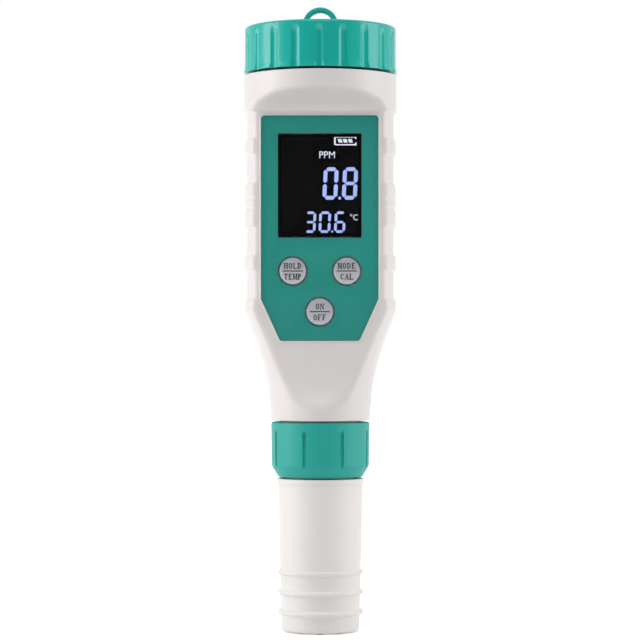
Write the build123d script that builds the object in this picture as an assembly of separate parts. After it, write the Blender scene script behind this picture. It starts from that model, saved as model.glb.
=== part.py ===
from build123d import *
import math
import os

# A pen-type water quality meter that stands upright on its closed probe cap.
# Millimetres, +Z up, z = 0 under the probe cap, the axis at x = y = 0, display towards -Y.

# Clearances shared by the whole part
running_gap = 0.08       # a turning or sliding fit, on the radius
seat_gap = 0.02          # a piece glued, moulded or pressed in place
loose_gap = 0.2          # a piece dropped into its pocket

# Probe cap
probe_cap_height = 45.4
probe_cap_floor = 1.8
probe_cap_base_radius = 11.5
probe_cap_mouth_radius = 12.7
probe_cap_inner_base = 10.2
probe_cap_inner_mouth = 11.0
probe_cap_lip_radius = 13.0
probe_cap_lip_height = 1.7
probe_cap_lip_rise = 0.4
probe_cap_edge = 1.2
grip_ring_heights = (5.9, 11.8, 17.75)
grip_ring_radius = 12.7
grip_ring_thick = 1.3
sponge_height = 4.2
foot_pad_count = 10
foot_pad_radius = 1.1
foot_pad_circle = 8.9
foot_pad_depth = 0.6
foot_pad_proud = 0.15

# Collar nut
probe_cap_to_collar = 0.4
collar_height = 16.3
collar_radius = 14.6
collar_low_radius = 14.4
collar_foot_radius = 12.4
collar_foot_height = 3.3
collar_floor = 2.55
collar_edge = 0.4
collar_groove_count = 8
collar_groove_turn = 27.0
collar_groove_width = 1.0
collar_groove_depth = 0.5
collar_groove_low = 3.0
collar_groove_high = 13.8
collar_pitch = 2.5

# Housing, heights measured from its lower edge
collar_to_housing = 0.5
housing_height = 102.0
flare_wall = 2.0
grip_wall = 1.7
spigot_bore_rise = 1.0
foot_radius = 14.7
ankle_radius = 15.2
ankle_height = 6.5
taper_height = 30.3
taper_power = 1.57
taper_to_groove = 0.1    # steps between the grip's radii, from the flare out to the band
relief_depth = 0.65
pad_to_band = 0.15
cap_to_band = 0.1
relief_slope = 0.5
low_pad_rise = 2.2
low_pad_height = 35.4
middle_pads = ((44.1, 48.8), (56.9, 70.0), (78.0, 83.0))
pad_notches = (62.4, 65.4)
notch_width = 1.2
notch_depth = 0.3
band_low = 90.5
band_edge = 0.4

# Flat front of the housing
flat_depth = 10.8
front_wall = 3.2
brow_low = 90.6
brow_high = 97.4
chin_high = 21.4
chin_middle = (12.0, 10.9)
chin_low = (14.9, 4.3)
chin_slope = 1.3

# Front panel and its pocket, heights from the housing's lower edge
panel_half_width = 17.15
panel_foot_half_width = 11.6
panel_top = 89.4
panel_shoulder = 35.7
panel_bottom = 23.5
panel_corner = 1.0
panel_thick = 1.6
panel_sink = 0.2
panel_fit = 0.05
tape_thick = 0.2
ledge_width = 1.2
lip_width = 0.4
lip_height = 0.3

# Display window and the display behind it
window_half_width = 12.27
window_low = 53.6
window_high = 84.3
window_thick = 1.0
window_ledge = 1.1
gasket_thick = 0.5
glass_half_width = 13.2
glass_low = 51.2
glass_high = 84.8
glass_thick = 2.0
light_half_width = 12.4
light_low = 54.4
light_high = 84.2
light_gap = 0.1
strip_half_width = 11.0
strip_depth = 2.2
strip_inset = 0.4
frame_half_width = 15.2
frame_low = 50.0
frame_high = 87.6
frame_sink = 0.6

# Keys
key_radius = 3.875
key_hole_gap = 0.475
key_flange_radius = 5.0
key_flange_thick = 0.8
key_proud = 0.35
key_post_radius = 1.2
key_edge = 0.25
key_travel = 0.4
key_side_offset = 7.9
key_side_height = 43.9
key_low_height = 32.0
switch_side = 6.0
switch_thick = 2.0
switch_bore_depth = 1.2
plunger_radius = 1.5
plunger_proud = 0.5
mat_thick = 0.85
mat_low = 27.2
mat_high = 49.0
mat_half_width = 14.0
mat_inset = 2.2
mat_hole_gap = 0.5

# Main board and its screws
board_thick = 1.6
board_front = 6.2         # from the flat's plane to the board's front face
board_half_width = 15.2
board_top = 87.8
board_shoulder = 36.9
board_waist = 25.9
board_waist_half_width = 11.0
tongue_half_width = 6.0
tongue_low = -1.8
rail_inner = 11.0
rail_thick = 2.2
rail_low = 30.6
rail_high = 87.6
screw_radius = 0.8
screw_head_radius = 1.35
screw_head_thick = 0.9
screw_bite = 1.6
upper_screw = (12.5, 86.3)
lower_screw = (12.2, 34.6)
chips = ((0.0, 72.0, 5.0, 5.0, 1.2), (-6.5, 48.0, 2.0, 3.0, 1.0), (6.5, 49.0, 2.5, 1.5, 1.4),
         (7.0, 56.0, 1.5, 2.5, 0.9), (-6.5, 30.5, 1.8, 1.8, 1.0))

# Neck and its thread
neck_radius = 18.6
neck_height = 10.4
neck_bore = 16.8
ledge_bore = 15.6
ledge_top = 7.4
ledge_low = -2.1
cap_pitch = 3.0
cap_thread_low = 4.0
cap_thread_length = 5.0
thread_depth = 0.8
thread_bite = 0.2
thread_gap = 0.3
flank_gap = 0.2
thread_taper = 0.5
seal_thick = 1.6

# Top cap and its lanyard loop
cap_seam = 0.7
top_cap_height = 13.6
top_cap_radius = 22.4
top_cap_foot_spread = 0.3
top_cap_foot_height = 1.6
top_cap_roof = 1.7
top_cap_edge = 0.9
flute_count = 20
flute_width = 2.4
flute_depth = 0.5
flute_top = 1.3
skirt_gap = 1.8
skirt_bore_height = 1.2
boss_radius = 2.5
loop_outer_radius = 5.4
loop_inner_radius = 3.6
loop_centre_height = 0.7
loop_thick = 3.0
loop_edge = 0.7

# Contact disc under the cap
disc_radius = 15.4
disc_thick = 1.4
disc_top_gap = 0.15
disc_screw_head_radius = 3.6
disc_screw_head_thick = 1.0
disc_screw_radius = 0.9
disc_screw_length = 2.2
disc_screw_slot = 0.8
peg_radius = 1.2
peg_place = 13.0
peg_depth = 1.0
bridge_width = 3.0
bridge_thick = 0.3
bridge_dome_wide = 2.4
bridge_dome_narrow = 1.2

# Batteries and their holder
cell_radius = 5.25
cell_length = 44.5
cell_x = 5.9
cell_y = 7.6
cell_top_sink = 0.4
nub_radius = 1.9
nub_height = 0.8
holder_bore_gap = 0.15
holder_front = 1.6
holder_floor = 2.0
holder_flange_thick = 1.5
spring_height = 3.9
spring_radius = 3.2
spring_wire = 0.3
spring_turns = 3
terminal_radius = 4.0
terminal_thick = 0.3
terminal_width = 3.0

# Spigot, electrode and its plug
spigot_length = 11.6
spigot_radius = 11.4
spigot_bore = 9.5
collar_thread_low = 1.7
collar_thread_length = 6.6
flange_radius = 11.4
flange_gap = 0.2
barrel_radius = 9.8
barrel_bore = 8.2
guard_rise = 0.4
guard_slot_count = 6
guard_slot_width = 3.6
guard_slot_low = 9.0
guard_slot_high = 19.0
bulkhead_low = 20.0
bulkhead_thick = 2.0
plug_radius = 9.3
plug_length = 8.7
plug_bore = 6.9
carrier_thick = 2.0
plug_seal_wire = 1.3
plug_seal_height = 4.4
cap_seal_wire = 1.7
cap_seal_drop = 7.4
seal_groove_side = 0.15

# Sensors on the electrode's face
bulb_radius = 3.6
glass_tube_radius = 3.0
glass_wall = 0.5
bulb_tip = 8.6
glass_tube_top = 47.0
wire_radius = 0.35
sensor_circle = 6.0
sensor_tip = 10.6
junction_radius = 1.4
temperature_radius = 1.35
conductivity_radius = 1.25
platinum_radius = 1.25
sensor_top = 34.0

# Plug pins and socket
pin_radius = 0.4
pin_spacing = 2.54
pin_columns = (-1, 0, 1)
pin_rows = (0, 1)
pin_rise = 7.0
pin_foot = 2.0
socket_gap = 0.7
socket_height = 8.0
socket_radius = 6.5

# Places worked out from the sizes above
band_radius = top_cap_radius + cap_to_band
pad_radius = band_radius - pad_to_band
groove_radius = pad_radius - relief_depth
taper_radius = groove_radius - taper_to_groove
top_cap_foot_radius = top_cap_radius + top_cap_foot_spread
skirt_bore = neck_radius + skirt_gap
guard_low = probe_cap_floor + sponge_height + guard_rise
cap_seal_height = probe_cap_height - cap_seal_drop
collar_low_z = probe_cap_height + probe_cap_to_collar
collar_top_z = collar_low_z + collar_height
housing_low_z = collar_top_z + collar_to_housing
housing_top_z = housing_low_z + housing_height
neck_top_z = housing_top_z + neck_height
top_cap_low_z = housing_top_z + cap_seam
top_cap_top_z = top_cap_low_z + top_cap_height
roof_z = top_cap_top_z - top_cap_roof
spigot_low_z = housing_low_z - spigot_length
flange_low_z = collar_low_z + collar_floor
flange_top_z = spigot_low_z - flange_gap
plug_top_z = flange_top_z + plug_length
carrier_low_z = plug_top_z - carrier_thick
pin_foot_z = carrier_low_z - pin_foot
ledge_top_z = housing_top_z + ledge_top
cell_top_z = ledge_top_z + holder_flange_thick - cell_top_sink
cell_low_z = cell_top_z - cell_length
holder_well_z = cell_low_z - spring_height - terminal_thick
disc_top_z = roof_z - disc_top_gap
disc_low_z = disc_top_z - disc_thick
body_bore = groove_radius - grip_wall
cap_bore = neck_radius + thread_depth + thread_gap
collar_thread_bore = spigot_radius + thread_depth + thread_gap
flat_y = -flat_depth
panel_front_y = flat_y + panel_sink
panel_back_y = panel_front_y + panel_thick
pocket_y = panel_back_y + tape_thick
board_front_y = flat_y + board_front
board_back_y = board_front_y + board_thick
glass_front_y = panel_back_y + gasket_thick
glass_back_y = glass_front_y + glass_thick
switch_front_y = board_front_y - switch_thick
plunger_front_y = switch_front_y - plunger_proud
key_front_y = panel_front_y - key_proud
key_places = {
    "left": (-key_side_offset, housing_low_z + key_side_height),
    "right": (key_side_offset, housing_low_z + key_side_height),
    "power": (0.0, housing_low_z + key_low_height),
}
cell_places = {"left": (-cell_x, cell_y), "right": (cell_x, cell_y)}
sensor_places = [
    (sensor_circle * math.sin(math.radians(60 * step)), sensor_circle * math.cos(math.radians(60 * step)))
    for step in range(6)
]
pin_places = [(column * pin_spacing, row * pin_spacing) for column in pin_columns for row in pin_rows]
foot_pad_places = [
    (foot_pad_circle * math.sin(2 * math.pi * step / foot_pad_count),
     foot_pad_circle * math.cos(2 * math.pi * step / foot_pad_count))
    for step in range(foot_pad_count)
]
upright = (Align.CENTER, Align.CENTER, Align.MIN)


def rod(radius, low, high, x=0.0, y=0.0):
    """An upright cylinder between two heights."""
    return Pos(x, y, low) * Cylinder(radius, high - low, align=upright)


def stud(radius, front, back, x, z):
    """A cylinder along Y, between two depths."""
    return Pos(x, front, z) * Rot(-90, 0, 0) * Cylinder(radius, back - front, align=upright)


def block(x, y, z):
    """A box from its (low, high) along X, Y and Z."""
    centre = [(low + high) / 2 for low, high in (x, y, z)]
    return Pos(*centre) * Box(x[1] - x[0], y[1] - y[0], z[1] - z[0])


def turned(points):
    """A solid turned about Z from (radius, z) points."""
    return revolve(make_face(Plane.XZ * Polyline(*points, close=True)), Axis.Z)


def plate(outline, front, back):
    """An outline drawn in X and Z, as thick as from front to back along Y."""
    return extrude(Plane.XZ.offset(-back) * outline, back - front)


def outline_between(half_width, low, high):
    """A rectangle outline about the middle, between two heights."""
    return Pos(0, (low + high) / 2) * Rectangle(2 * half_width, high - low)


def helical_ridge(wall_radius, inward, pitch, low, length):
    """One thread ridge on a wall, right-handed, its root sunk a little into the wall."""
    side = -1 if inward else 1
    root = wall_radius - side * thread_bite
    crest = wall_radius + side * thread_depth
    middle = pitch / 2 - flank_gap
    wide, narrow = (middle + thread_taper / 2) / 2, (middle - thread_taper / 2) / 2
    section = Polyline((root, low - wide), (crest, low - narrow), (crest, low + narrow),
                       (root, low + wide), close=True)
    path = Pos(0, 0, low) * Helix(pitch, length, wall_radius)
    return sweep(make_face(Plane.XZ * section), path, is_frenet=True)


def seal_ring(inner_radius, wire, z):
    """An O-ring of round section."""
    return Pos(0, 0, z) * Torus(inner_radius + wire / 2, wire / 2)


def taper_at(height):
    """Outer radius of the housing's flare at a height above the ankle's top."""
    share = (height - ankle_height) / (taper_height - ankle_height)
    return ankle_radius + (taper_radius - ankle_radius) * share ** taper_power


def flare(inset, height_steps=(0.0, 0.3, 0.6, 0.85, 1.0)):
    """(radius, z) points of the flare, moved inwards by inset."""
    heights = [ankle_height + (taper_height - ankle_height) * step for step in height_steps]
    return [(taper_at(height) - inset, housing_low_z + height) for height in heights]


def notch_points(height):
    """A shallow groove with sloped sides, round a pad."""
    floor = pad_radius - notch_depth
    return [(pad_radius, height - notch_width / 2), (floor, height - notch_width / 4),
            (floor, height + notch_width / 4), (pad_radius, height + notch_width / 2)]


def relief_points():
    """Pads, grooves and notches up the grip, from the flare's end to the band."""
    points = [(pad_radius, taper_height + low_pad_rise), (pad_radius, low_pad_height)]
    for low, high in middle_pads:
        points += [(groove_radius, points[-1][1] + relief_slope), (groove_radius, low)]
        points.append((pad_radius, low + relief_slope))
        for notch in pad_notches:
            if low < notch < high:
                points += notch_points(notch)
        points.append((pad_radius, high - relief_slope))
    points += [(groove_radius, middle_pads[-1][1]), (groove_radius, band_low)]
    points.append((band_radius, band_low + relief_slope))
    return [(radius, housing_low_z + height) for radius, height in points]


def housing_outside():
    """The turned outside with spigot and neck, before the flat is cut."""
    low = [(0, spigot_low_z), (spigot_radius, spigot_low_z), (spigot_radius, housing_low_z),
           (foot_radius, housing_low_z), flare(0)[0]]
    high = [(band_radius, housing_top_z - band_edge), (band_radius - band_edge, housing_top_z),
            (neck_radius, housing_top_z), (neck_radius, neck_top_z), (0, neck_top_z)]
    bend = Spline(*flare(0), tangents=[(0.1, 1), (0.45, 1)])
    profile = Polyline(*low) + bend + Polyline(flare(0)[-1], *relief_points(), *high) + Line(high[-1], low[0])
    return revolve(make_face(Plane.XZ * profile), Axis.Z)


def housing_inside():
    """The turned cavity from the spigot's mouth to the neck's mouth."""
    low = [(0, spigot_low_z), (spigot_bore, spigot_low_z), (spigot_bore, housing_low_z + spigot_bore_rise)]
    high = [(body_bore, housing_low_z + taper_height + low_pad_rise), (body_bore, housing_top_z + ledge_low),
            (ledge_bore, housing_top_z + ledge_low), (ledge_bore, ledge_top_z), (neck_bore, ledge_top_z),
            (neck_bore, neck_top_z), (0, neck_top_z)]
    return turned([*low, *flare(flare_wall), *high])


def front_cut(inset):
    """What is cut off the front: the brow's slope, the flat and the chin's curve, moved back by inset."""
    rise = (brow_high - brow_low) / (band_radius - flat_depth)
    far = band_radius + 10
    brow_far = (-far, brow_low + rise * (far - flat_depth))
    chin = [(flat_y, chin_high), (-chin_middle[0], chin_middle[1]), (-chin_low[0], chin_low[1])]
    chin_far = (-far, chin_low[1] - chin_slope * (far - chin_low[0]))
    edge = (Polyline((flat_y, chin_high), (flat_y, brow_low), brow_far, chin_far, chin[-1])
            + Spline(*chin, tangents=[(0, -1), (-1, -chin_slope)]))
    cut = extrude(Plane.YZ * make_face(edge), far, both=True)
    return Pos(0, inset, housing_low_z) * cut


def mirrored_outline(half):
    """A face from the (x, height) corners of its right half, mirrored to the left."""
    points = half + [(-x, z) for x, z in reversed(half)]
    return make_face(Polyline(*[(x, housing_low_z + z) for x, z in points], close=True))


def bezel_outline(grow):
    """The panel's outline, tapered at its foot, grown or shrunk on all sides."""
    face = mirrored_outline([(panel_foot_half_width, panel_bottom), (panel_half_width, panel_shoulder),
                             (panel_half_width, panel_top)])
    rounded = fillet(face.vertices(), panel_corner)
    return offset(rounded, grow, kind=Kind.INTERSECTION) if grow else rounded


def board_rails():
    """Two ribs inside the housing that the board is screwed to."""
    depth = (board_back_y, board_back_y + rail_thick)
    height = (housing_low_z + rail_low, housing_low_z + rail_high)
    reach = groove_radius - grip_wall / 2
    rails = block((rail_inner, reach), depth, height) + block((-reach, -rail_inner), depth, height)
    return rails & rod(reach, *height)


def screw_holes(places, front, back):
    """Holes for the board's screws along Y at (x, height) places, mirrored in X."""
    radius = screw_radius + seat_gap
    return [stud(radius, front, back, side * x, housing_low_z + z) for x, z in places for side in (-1, 1)]


def make_housing():
    """White tube with a flat front, a threaded neck and a threaded spigot."""
    body = (housing_outside() - front_cut(0)) - (housing_inside() - front_cut(front_wall))
    lip = plate(bezel_outline(panel_fit + lip_width), flat_y - lip_height, flat_y + lip_height)
    body = body + lip - plate(bezel_outline(panel_fit), flat_y - 2 * lip_height, pocket_y)
    body -= plate(bezel_outline(-ledge_width), pocket_y - lip_height, flat_y + front_wall + lip_height)
    body += board_rails()
    for hole in screw_holes((upper_screw, lower_screw), board_back_y, board_back_y + screw_bite):
        body -= hole
    neck_low, spigot_low = housing_top_z + cap_thread_low, spigot_low_z + collar_thread_low
    body += helical_ridge(neck_radius, False, cap_pitch, neck_low, cap_thread_length)
    return body + helical_ridge(spigot_radius, False, collar_pitch, spigot_low, collar_thread_length)


def make_cap_o_ring():
    """Seal on the housing's shoulder, round the neck."""
    return seal_ring(neck_radius + seat_gap, seal_thick, housing_top_z + seal_thick / 2 + seat_gap)


def make_lanyard_loop():
    """Half-round eye that stands on the cap, its legs sunk into the roof."""
    centre = top_cap_top_z + loop_centre_height
    foot = top_cap_top_z - top_cap_roof / 2
    solid = Pos(0, centre) * Circle(loop_outer_radius) + outline_between(loop_outer_radius, foot, centre)
    solid -= outline_between(loop_outer_radius, foot - 2 * loop_outer_radius, foot)
    hole = Pos(0, centre) * Circle(loop_inner_radius) + outline_between(loop_inner_radius, foot - 1, centre)
    arch = plate(solid - hole, -loop_thick / 2, loop_thick / 2)
    round_edges = arch.edges().filter_by(lambda edge: edge.center().Z > centre)
    return fillet(round_edges.filter_by(GeomType.CIRCLE), loop_edge)


def flute_cutters():
    """Upright round grooves about the cap, one at the front."""
    radius = (flute_width ** 2 / 4 + flute_depth ** 2) / (2 * flute_depth)
    place = top_cap_radius + radius - flute_depth
    top = top_cap_top_z - flute_top - radius
    cutter = rod(radius, top_cap_low_z - 1, top, y=-place) + Pos(0, -place, top) * Sphere(radius)
    return [Rot(0, 0, step * 360 / flute_count) * cutter for step in range(flute_count)]


def make_top_cap():
    """Fluted screw cap with a female thread, a centre boss and the lanyard loop."""
    body = turned([(0, top_cap_low_z), (top_cap_foot_radius, top_cap_low_z),
                   (top_cap_radius, top_cap_low_z + top_cap_foot_height), (top_cap_radius, top_cap_top_z),
                   (0, top_cap_top_z)])
    top_edge = body.edges().filter_by(GeomType.CIRCLE).sort_by(Axis.Z)[-1]
    body = fillet(top_edge, top_cap_edge)
    for cutter in flute_cutters():
        body -= cutter
    body -= rod(cap_bore, top_cap_low_z - 1, roof_z)
    body -= rod(skirt_bore, top_cap_low_z - 1, top_cap_low_z + skirt_bore_height)
    body += rod(boss_radius, disc_low_z - running_gap, roof_z + top_cap_roof / 2)
    body -= rod(disc_screw_radius + seat_gap, disc_low_z - 1, disc_low_z - running_gap + disc_screw_length)
    thread_low = housing_top_z + cap_thread_low + cap_pitch / 2
    body += helical_ridge(cap_bore, True, cap_pitch, thread_low, cap_thread_length)
    return body + make_lanyard_loop()


def make_contact_screw():
    """Wide-headed screw in the cap's boss that keeps the disc captive."""
    seat = disc_low_z - running_gap
    head = rod(disc_screw_head_radius, seat - disc_screw_head_thick, seat)
    slot = block((-disc_screw_head_radius, disc_screw_head_radius),
                 (-disc_screw_slot / 2, disc_screw_slot / 2),
                 (seat - disc_screw_head_thick - 1, seat - disc_screw_head_thick / 2))
    return head - slot + rod(disc_screw_radius, seat, seat + disc_screw_length)


def make_contact_disc():
    """Disc that the cap turns on, with a peg that keys it to the battery holder."""
    disc = rod(disc_radius, disc_low_z, disc_top_z)
    disc -= rod(boss_radius + running_gap, disc_low_z - 1, disc_top_z + 1)
    peg_low = ledge_top_z + holder_flange_thick - peg_depth
    return disc + rod(peg_radius, peg_low, disc_low_z + disc_thick / 2, y=peg_place)


def make_bridge_contact():
    """Metal strip with two domes that joins the two cells under the disc."""
    top, low = disc_low_z, disc_low_z - bridge_thick
    strip = block((-cell_x, cell_x), (cell_y - bridge_width / 2, cell_y + bridge_width / 2), (low, top))
    for x, y in cell_places.values():
        dome = Cone(bridge_dome_narrow, bridge_dome_wide, low - cell_top_z - seat_gap, align=upright)
        strip = strip + rod(bridge_dome_wide, low, top, x, y) + Pos(x, y, cell_top_z + seat_gap) * dome
    return strip


def make_battery_holder():
    """Two bores for the cells under a flange that rests on the neck's ledge."""
    low = holder_well_z - holder_floor
    block_radius = ledge_bore - loose_gap
    keep = block((-block_radius, block_radius), (holder_front, block_radius), (low, ledge_top_z))
    body = rod(block_radius, low, ledge_top_z) & keep
    body += rod(neck_bore - loose_gap, ledge_top_z, ledge_top_z + holder_flange_thick)
    for x, y in cell_places.values():
        body -= rod(cell_radius + holder_bore_gap, holder_well_z, ledge_top_z + holder_flange_thick + 1, x, y)
        slot_half = terminal_width / 2 + loose_gap
        body -= block((x - slot_half, x + slot_half), (holder_front - 1, cell_y),
                      (holder_well_z, holder_well_z + terminal_thick + loose_gap))
    return body - rod(peg_radius + running_gap, ledge_top_z - peg_depth, neck_top_z, y=peg_place)


def make_battery(side):
    """Slim round cell; the left one stands with its nub up, the right one with its nub down."""
    x, y = cell_places[side]
    nub = rod(nub_radius, cell_low_z, cell_top_z, x, y)
    if side == "left":
        return rod(cell_radius, cell_low_z, cell_top_z - nub_height, x, y) + nub
    return rod(cell_radius, cell_low_z + nub_height, cell_top_z, x, y) + nub


def make_battery_springs():
    """A coil spring under each cell."""
    low = holder_well_z + terminal_thick + spring_wire + seat_gap
    length = spring_height - 2 * spring_wire - 2 * seat_gap
    path = Pos(0, 0, low) * Helix(length / spring_turns, length, spring_radius)
    coil = sweep(Plane(path @ 0, z_dir=path % 0) * Circle(spring_wire), path, is_frenet=True)
    return Compound([Pos(x, y, 0) * coil for x, y in cell_places.values()])


def make_battery_terminals():
    """Round plates under the springs, each with a strip through the holder to the board."""
    plates = []
    for x, y in cell_places.values():
        low, high = holder_well_z, holder_well_z + terminal_thick
        strip = block((x - terminal_width / 2, x + terminal_width / 2), (board_back_y, y), (low, high))
        plates.append(rod(terminal_radius, low, high, x, y) + strip)
    return Compound(plates)


def make_front_panel():
    """Teal plate with a stepped window opening and three key holes."""
    body = plate(bezel_outline(0), panel_front_y, panel_back_y)
    low, high = housing_low_z + window_low, housing_low_z + window_high
    step_y = panel_front_y + window_thick + panel_fit
    body -= plate(outline_between(window_half_width, low, high), panel_front_y - 1, step_y)
    body -= plate(outline_between(window_half_width - window_ledge, low + window_ledge, high - window_ledge),
                  step_y - 1, panel_back_y + 1)
    for x, z in key_places.values():
        body -= stud(key_radius + key_hole_gap, panel_front_y - 1, panel_back_y + 1, x, z)
    return body


def make_panel_tape():
    """Adhesive frame between the panel and the pocket's ledge."""
    return plate(bezel_outline(0) - bezel_outline(-ledge_width), panel_back_y, pocket_y)


def make_display_window():
    """Clear lens that drops into the panel's step."""
    outline = outline_between(window_half_width - panel_fit, housing_low_z + window_low + panel_fit,
                              housing_low_z + window_high - panel_fit)
    return plate(outline, panel_front_y + panel_fit, panel_front_y + panel_fit + window_thick)


def make_window_gasket():
    """Foam frame between the panel and the display glass."""
    low, high = housing_low_z + window_low + window_ledge, housing_low_z + window_high - window_ledge
    outer = outline_between(glass_half_width - loose_gap, housing_low_z + glass_low + loose_gap,
                            housing_low_z + glass_high - loose_gap)
    inner = outline_between(window_half_width - window_ledge, low, high)
    return plate(outer - inner, panel_back_y, glass_front_y)


def make_lcd_glass():
    """The display's two bonded glass sheets, as one plate."""
    outline = outline_between(glass_half_width, housing_low_z + glass_low, housing_low_z + glass_high)
    return plate(outline, glass_front_y, glass_back_y)


def make_lcd_backlight():
    """Light guide between the display glass and the board."""
    outline = outline_between(light_half_width, housing_low_z + light_low, housing_low_z + light_high)
    return plate(outline, glass_back_y, board_front_y - light_gap)


def make_lcd_connector_strip():
    """Rubber strip that joins the glass's edge to the board."""
    low = housing_low_z + glass_low + strip_inset
    return plate(outline_between(strip_half_width, low, low + strip_depth), glass_back_y, board_front_y)


def make_display_frame():
    """Plastic frame that holds the display on the board."""
    outer = outline_between(frame_half_width, housing_low_z + frame_low, housing_low_z + frame_high)
    inner = outline_between(glass_half_width + panel_fit, housing_low_z + glass_low - panel_fit,
                            housing_low_z + glass_high + panel_fit)
    body = plate(outer - inner, glass_front_y + frame_sink, board_front_y)
    for hole in screw_holes((upper_screw,), glass_front_y, board_front_y + 1):
        body -= hole
    return body


def board_outline():
    """The board's outline, narrowed at its foot, with a tongue down to the socket."""
    return mirrored_outline([(tongue_half_width, tongue_low), (tongue_half_width, board_waist),
                             (board_waist_half_width, board_waist), (board_half_width, board_shoulder),
                             (board_half_width, board_top)])


def make_main_board():
    """Circuit board behind the display and the keys."""
    body = plate(board_outline(), board_front_y, board_back_y)
    for hole in screw_holes((upper_screw, lower_screw), board_front_y - 1, board_back_y + 1):
        body -= hole
    return body


def make_board_chips():
    """Packages soldered on the board's back."""
    return Compound([
        block((x - half_x, x + half_x), (board_back_y, board_back_y + thick),
              (housing_low_z + z - half_z, housing_low_z + z + half_z))
        for x, z, half_x, half_z, thick in chips
    ])


def make_screws(place, head_back_y):
    """A left and a right pan-head screw, from the head's seat into the housing's rail."""
    screws = []
    for side in (-1, 1):
        x, z = side * place[0], housing_low_z + place[1]
        head = stud(screw_head_radius, head_back_y - screw_head_thick, head_back_y, x, z)
        shaft = stud(screw_radius, head_back_y, board_back_y + screw_bite - seat_gap, x, z)
        screws.append(head + shaft)
    return Compound(screws)


def make_tact_switches():
    """Three square switch bodies on the board, each with a bore for its plunger."""
    half = switch_side / 2
    bodies = []
    for x, z in key_places.values():
        body = block((x - half, x + half), (switch_front_y, board_front_y), (z - half, z + half))
        well = switch_front_y + switch_bore_depth
        bodies.append(body - stud(plunger_radius + running_gap, switch_front_y - 1, well, x, z))
    return Compound(bodies)


def make_plunger(side):
    """A switch's own plunger, which sinks with its key."""
    x, z = key_places[side]
    back = switch_front_y + switch_bore_depth - key_travel - loose_gap
    return stud(plunger_radius, plunger_front_y, back, x, z)


def make_key(side):
    """Round key with a flange behind the panel and a post on the switch's plunger."""
    x, z = key_places[side]
    flange_front = panel_back_y + running_gap
    disc = stud(key_radius, key_front_y, flange_front, x, z)
    front_edge = disc.edges().sort_by(Axis.Y)[0]
    disc = fillet(front_edge, key_edge)
    flange = stud(key_flange_radius, flange_front, flange_front + key_flange_thick, x, z)
    return disc + flange + stud(key_post_radius, flange_front, plunger_front_y, x, z)


def make_key_mat():
    """Silicone sheet on the switches that seals round the keys' posts."""
    slant = (panel_half_width - panel_foot_half_width) / (panel_shoulder - panel_bottom)
    foot_half_width = panel_foot_half_width + slant * (mat_low - panel_bottom) - mat_inset
    shoulder = mat_low + (mat_half_width - foot_half_width) / slant
    outline = mirrored_outline([(foot_half_width, mat_low), (mat_half_width, shoulder),
                                (mat_half_width, mat_high)])
    body = plate(outline, switch_front_y - mat_thick, switch_front_y)
    for x, z in key_places.values():
        body -= stud(plunger_radius + mat_hole_gap, switch_front_y - 2 * mat_thick, switch_front_y + 1, x, z)
    return body


def make_probe_socket():
    """Socket on the board's tongue that the electrode's pins enter from below."""
    low = plug_top_z + socket_gap
    high = low + socket_height
    keep = block((-socket_radius, socket_radius), (board_back_y, socket_radius), (low, high))
    body = rod(socket_radius, low, high) & keep
    for x, y in pin_places:
        body -= rod(pin_radius + running_gap, low - 1, plug_top_z + pin_rise + loose_gap, x, y)
    return body


def make_collar_nut():
    """Nut that holds the electrode's flange against the spigot."""
    body = turned([(0, collar_low_z), (collar_foot_radius, collar_low_z),
                   (collar_low_radius, collar_low_z + collar_foot_height),
                   (collar_radius, collar_top_z - collar_edge), (collar_radius - collar_edge, collar_top_z),
                   (0, collar_top_z)])
    groove = block((collar_radius - collar_groove_depth, collar_radius + 1),
                   (-collar_groove_width / 2, collar_groove_width / 2),
                   (collar_low_z + collar_groove_low, collar_low_z + collar_groove_high))
    for step in range(collar_groove_count):
        body -= Rot(0, 0, collar_groove_turn - 90 + step * 360 / collar_groove_count) * groove
    body -= rod(barrel_radius + running_gap, collar_low_z - 1, flange_low_z)
    body -= rod(flange_radius + loose_gap, flange_low_z, spigot_low_z)
    body -= rod(collar_thread_bore, spigot_low_z, collar_top_z + 1)
    thread_low = spigot_low_z + collar_thread_low + collar_pitch / 2
    length = collar_thread_length - collar_pitch / 2
    return body + helical_ridge(collar_thread_bore, True, collar_pitch, thread_low, length)


def probe_cap_radius(z):
    """Outer radius of the probe cap's plain wall."""
    return probe_cap_base_radius + (probe_cap_mouth_radius - probe_cap_base_radius) * z / probe_cap_height


def probe_cap_inner_radius(z):
    """Radius of the probe cap's tapered bore."""
    share = (z - probe_cap_floor) / (probe_cap_height - probe_cap_floor)
    return probe_cap_inner_base + (probe_cap_inner_mouth - probe_cap_inner_base) * share


def make_probe_cap():
    """Slip-on cap with three rounded grip rings and a small lip, on rubber pads sunk in its base."""
    lip_low = probe_cap_height - probe_cap_lip_height
    base, low = probe_cap_radius(0), foot_pad_proud
    body = turned([(0, low), (base - probe_cap_edge, low),
                   (base - probe_cap_edge / 4, low + probe_cap_edge / 4),
                   (probe_cap_radius(low + probe_cap_edge), low + probe_cap_edge),
                   (probe_cap_radius(lip_low), lip_low),
                   (probe_cap_lip_radius, lip_low + probe_cap_lip_rise),
                   (probe_cap_lip_radius, probe_cap_height), (0, probe_cap_height)])
    for x, y in foot_pad_places:
        body -= rod(foot_pad_radius + seat_gap, 0, low + foot_pad_depth, x, y)
    for z in grip_ring_heights:
        body += Pos(0, 0, z) * Torus(grip_ring_radius - grip_ring_thick / 2, grip_ring_thick / 2)
    over = probe_cap_height + 1
    return body - turned([(0, probe_cap_floor), (probe_cap_inner_base, probe_cap_floor),
                          (probe_cap_inner_mouth, probe_cap_height), (probe_cap_inner_mouth, over),
                          (0, over)])


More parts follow.
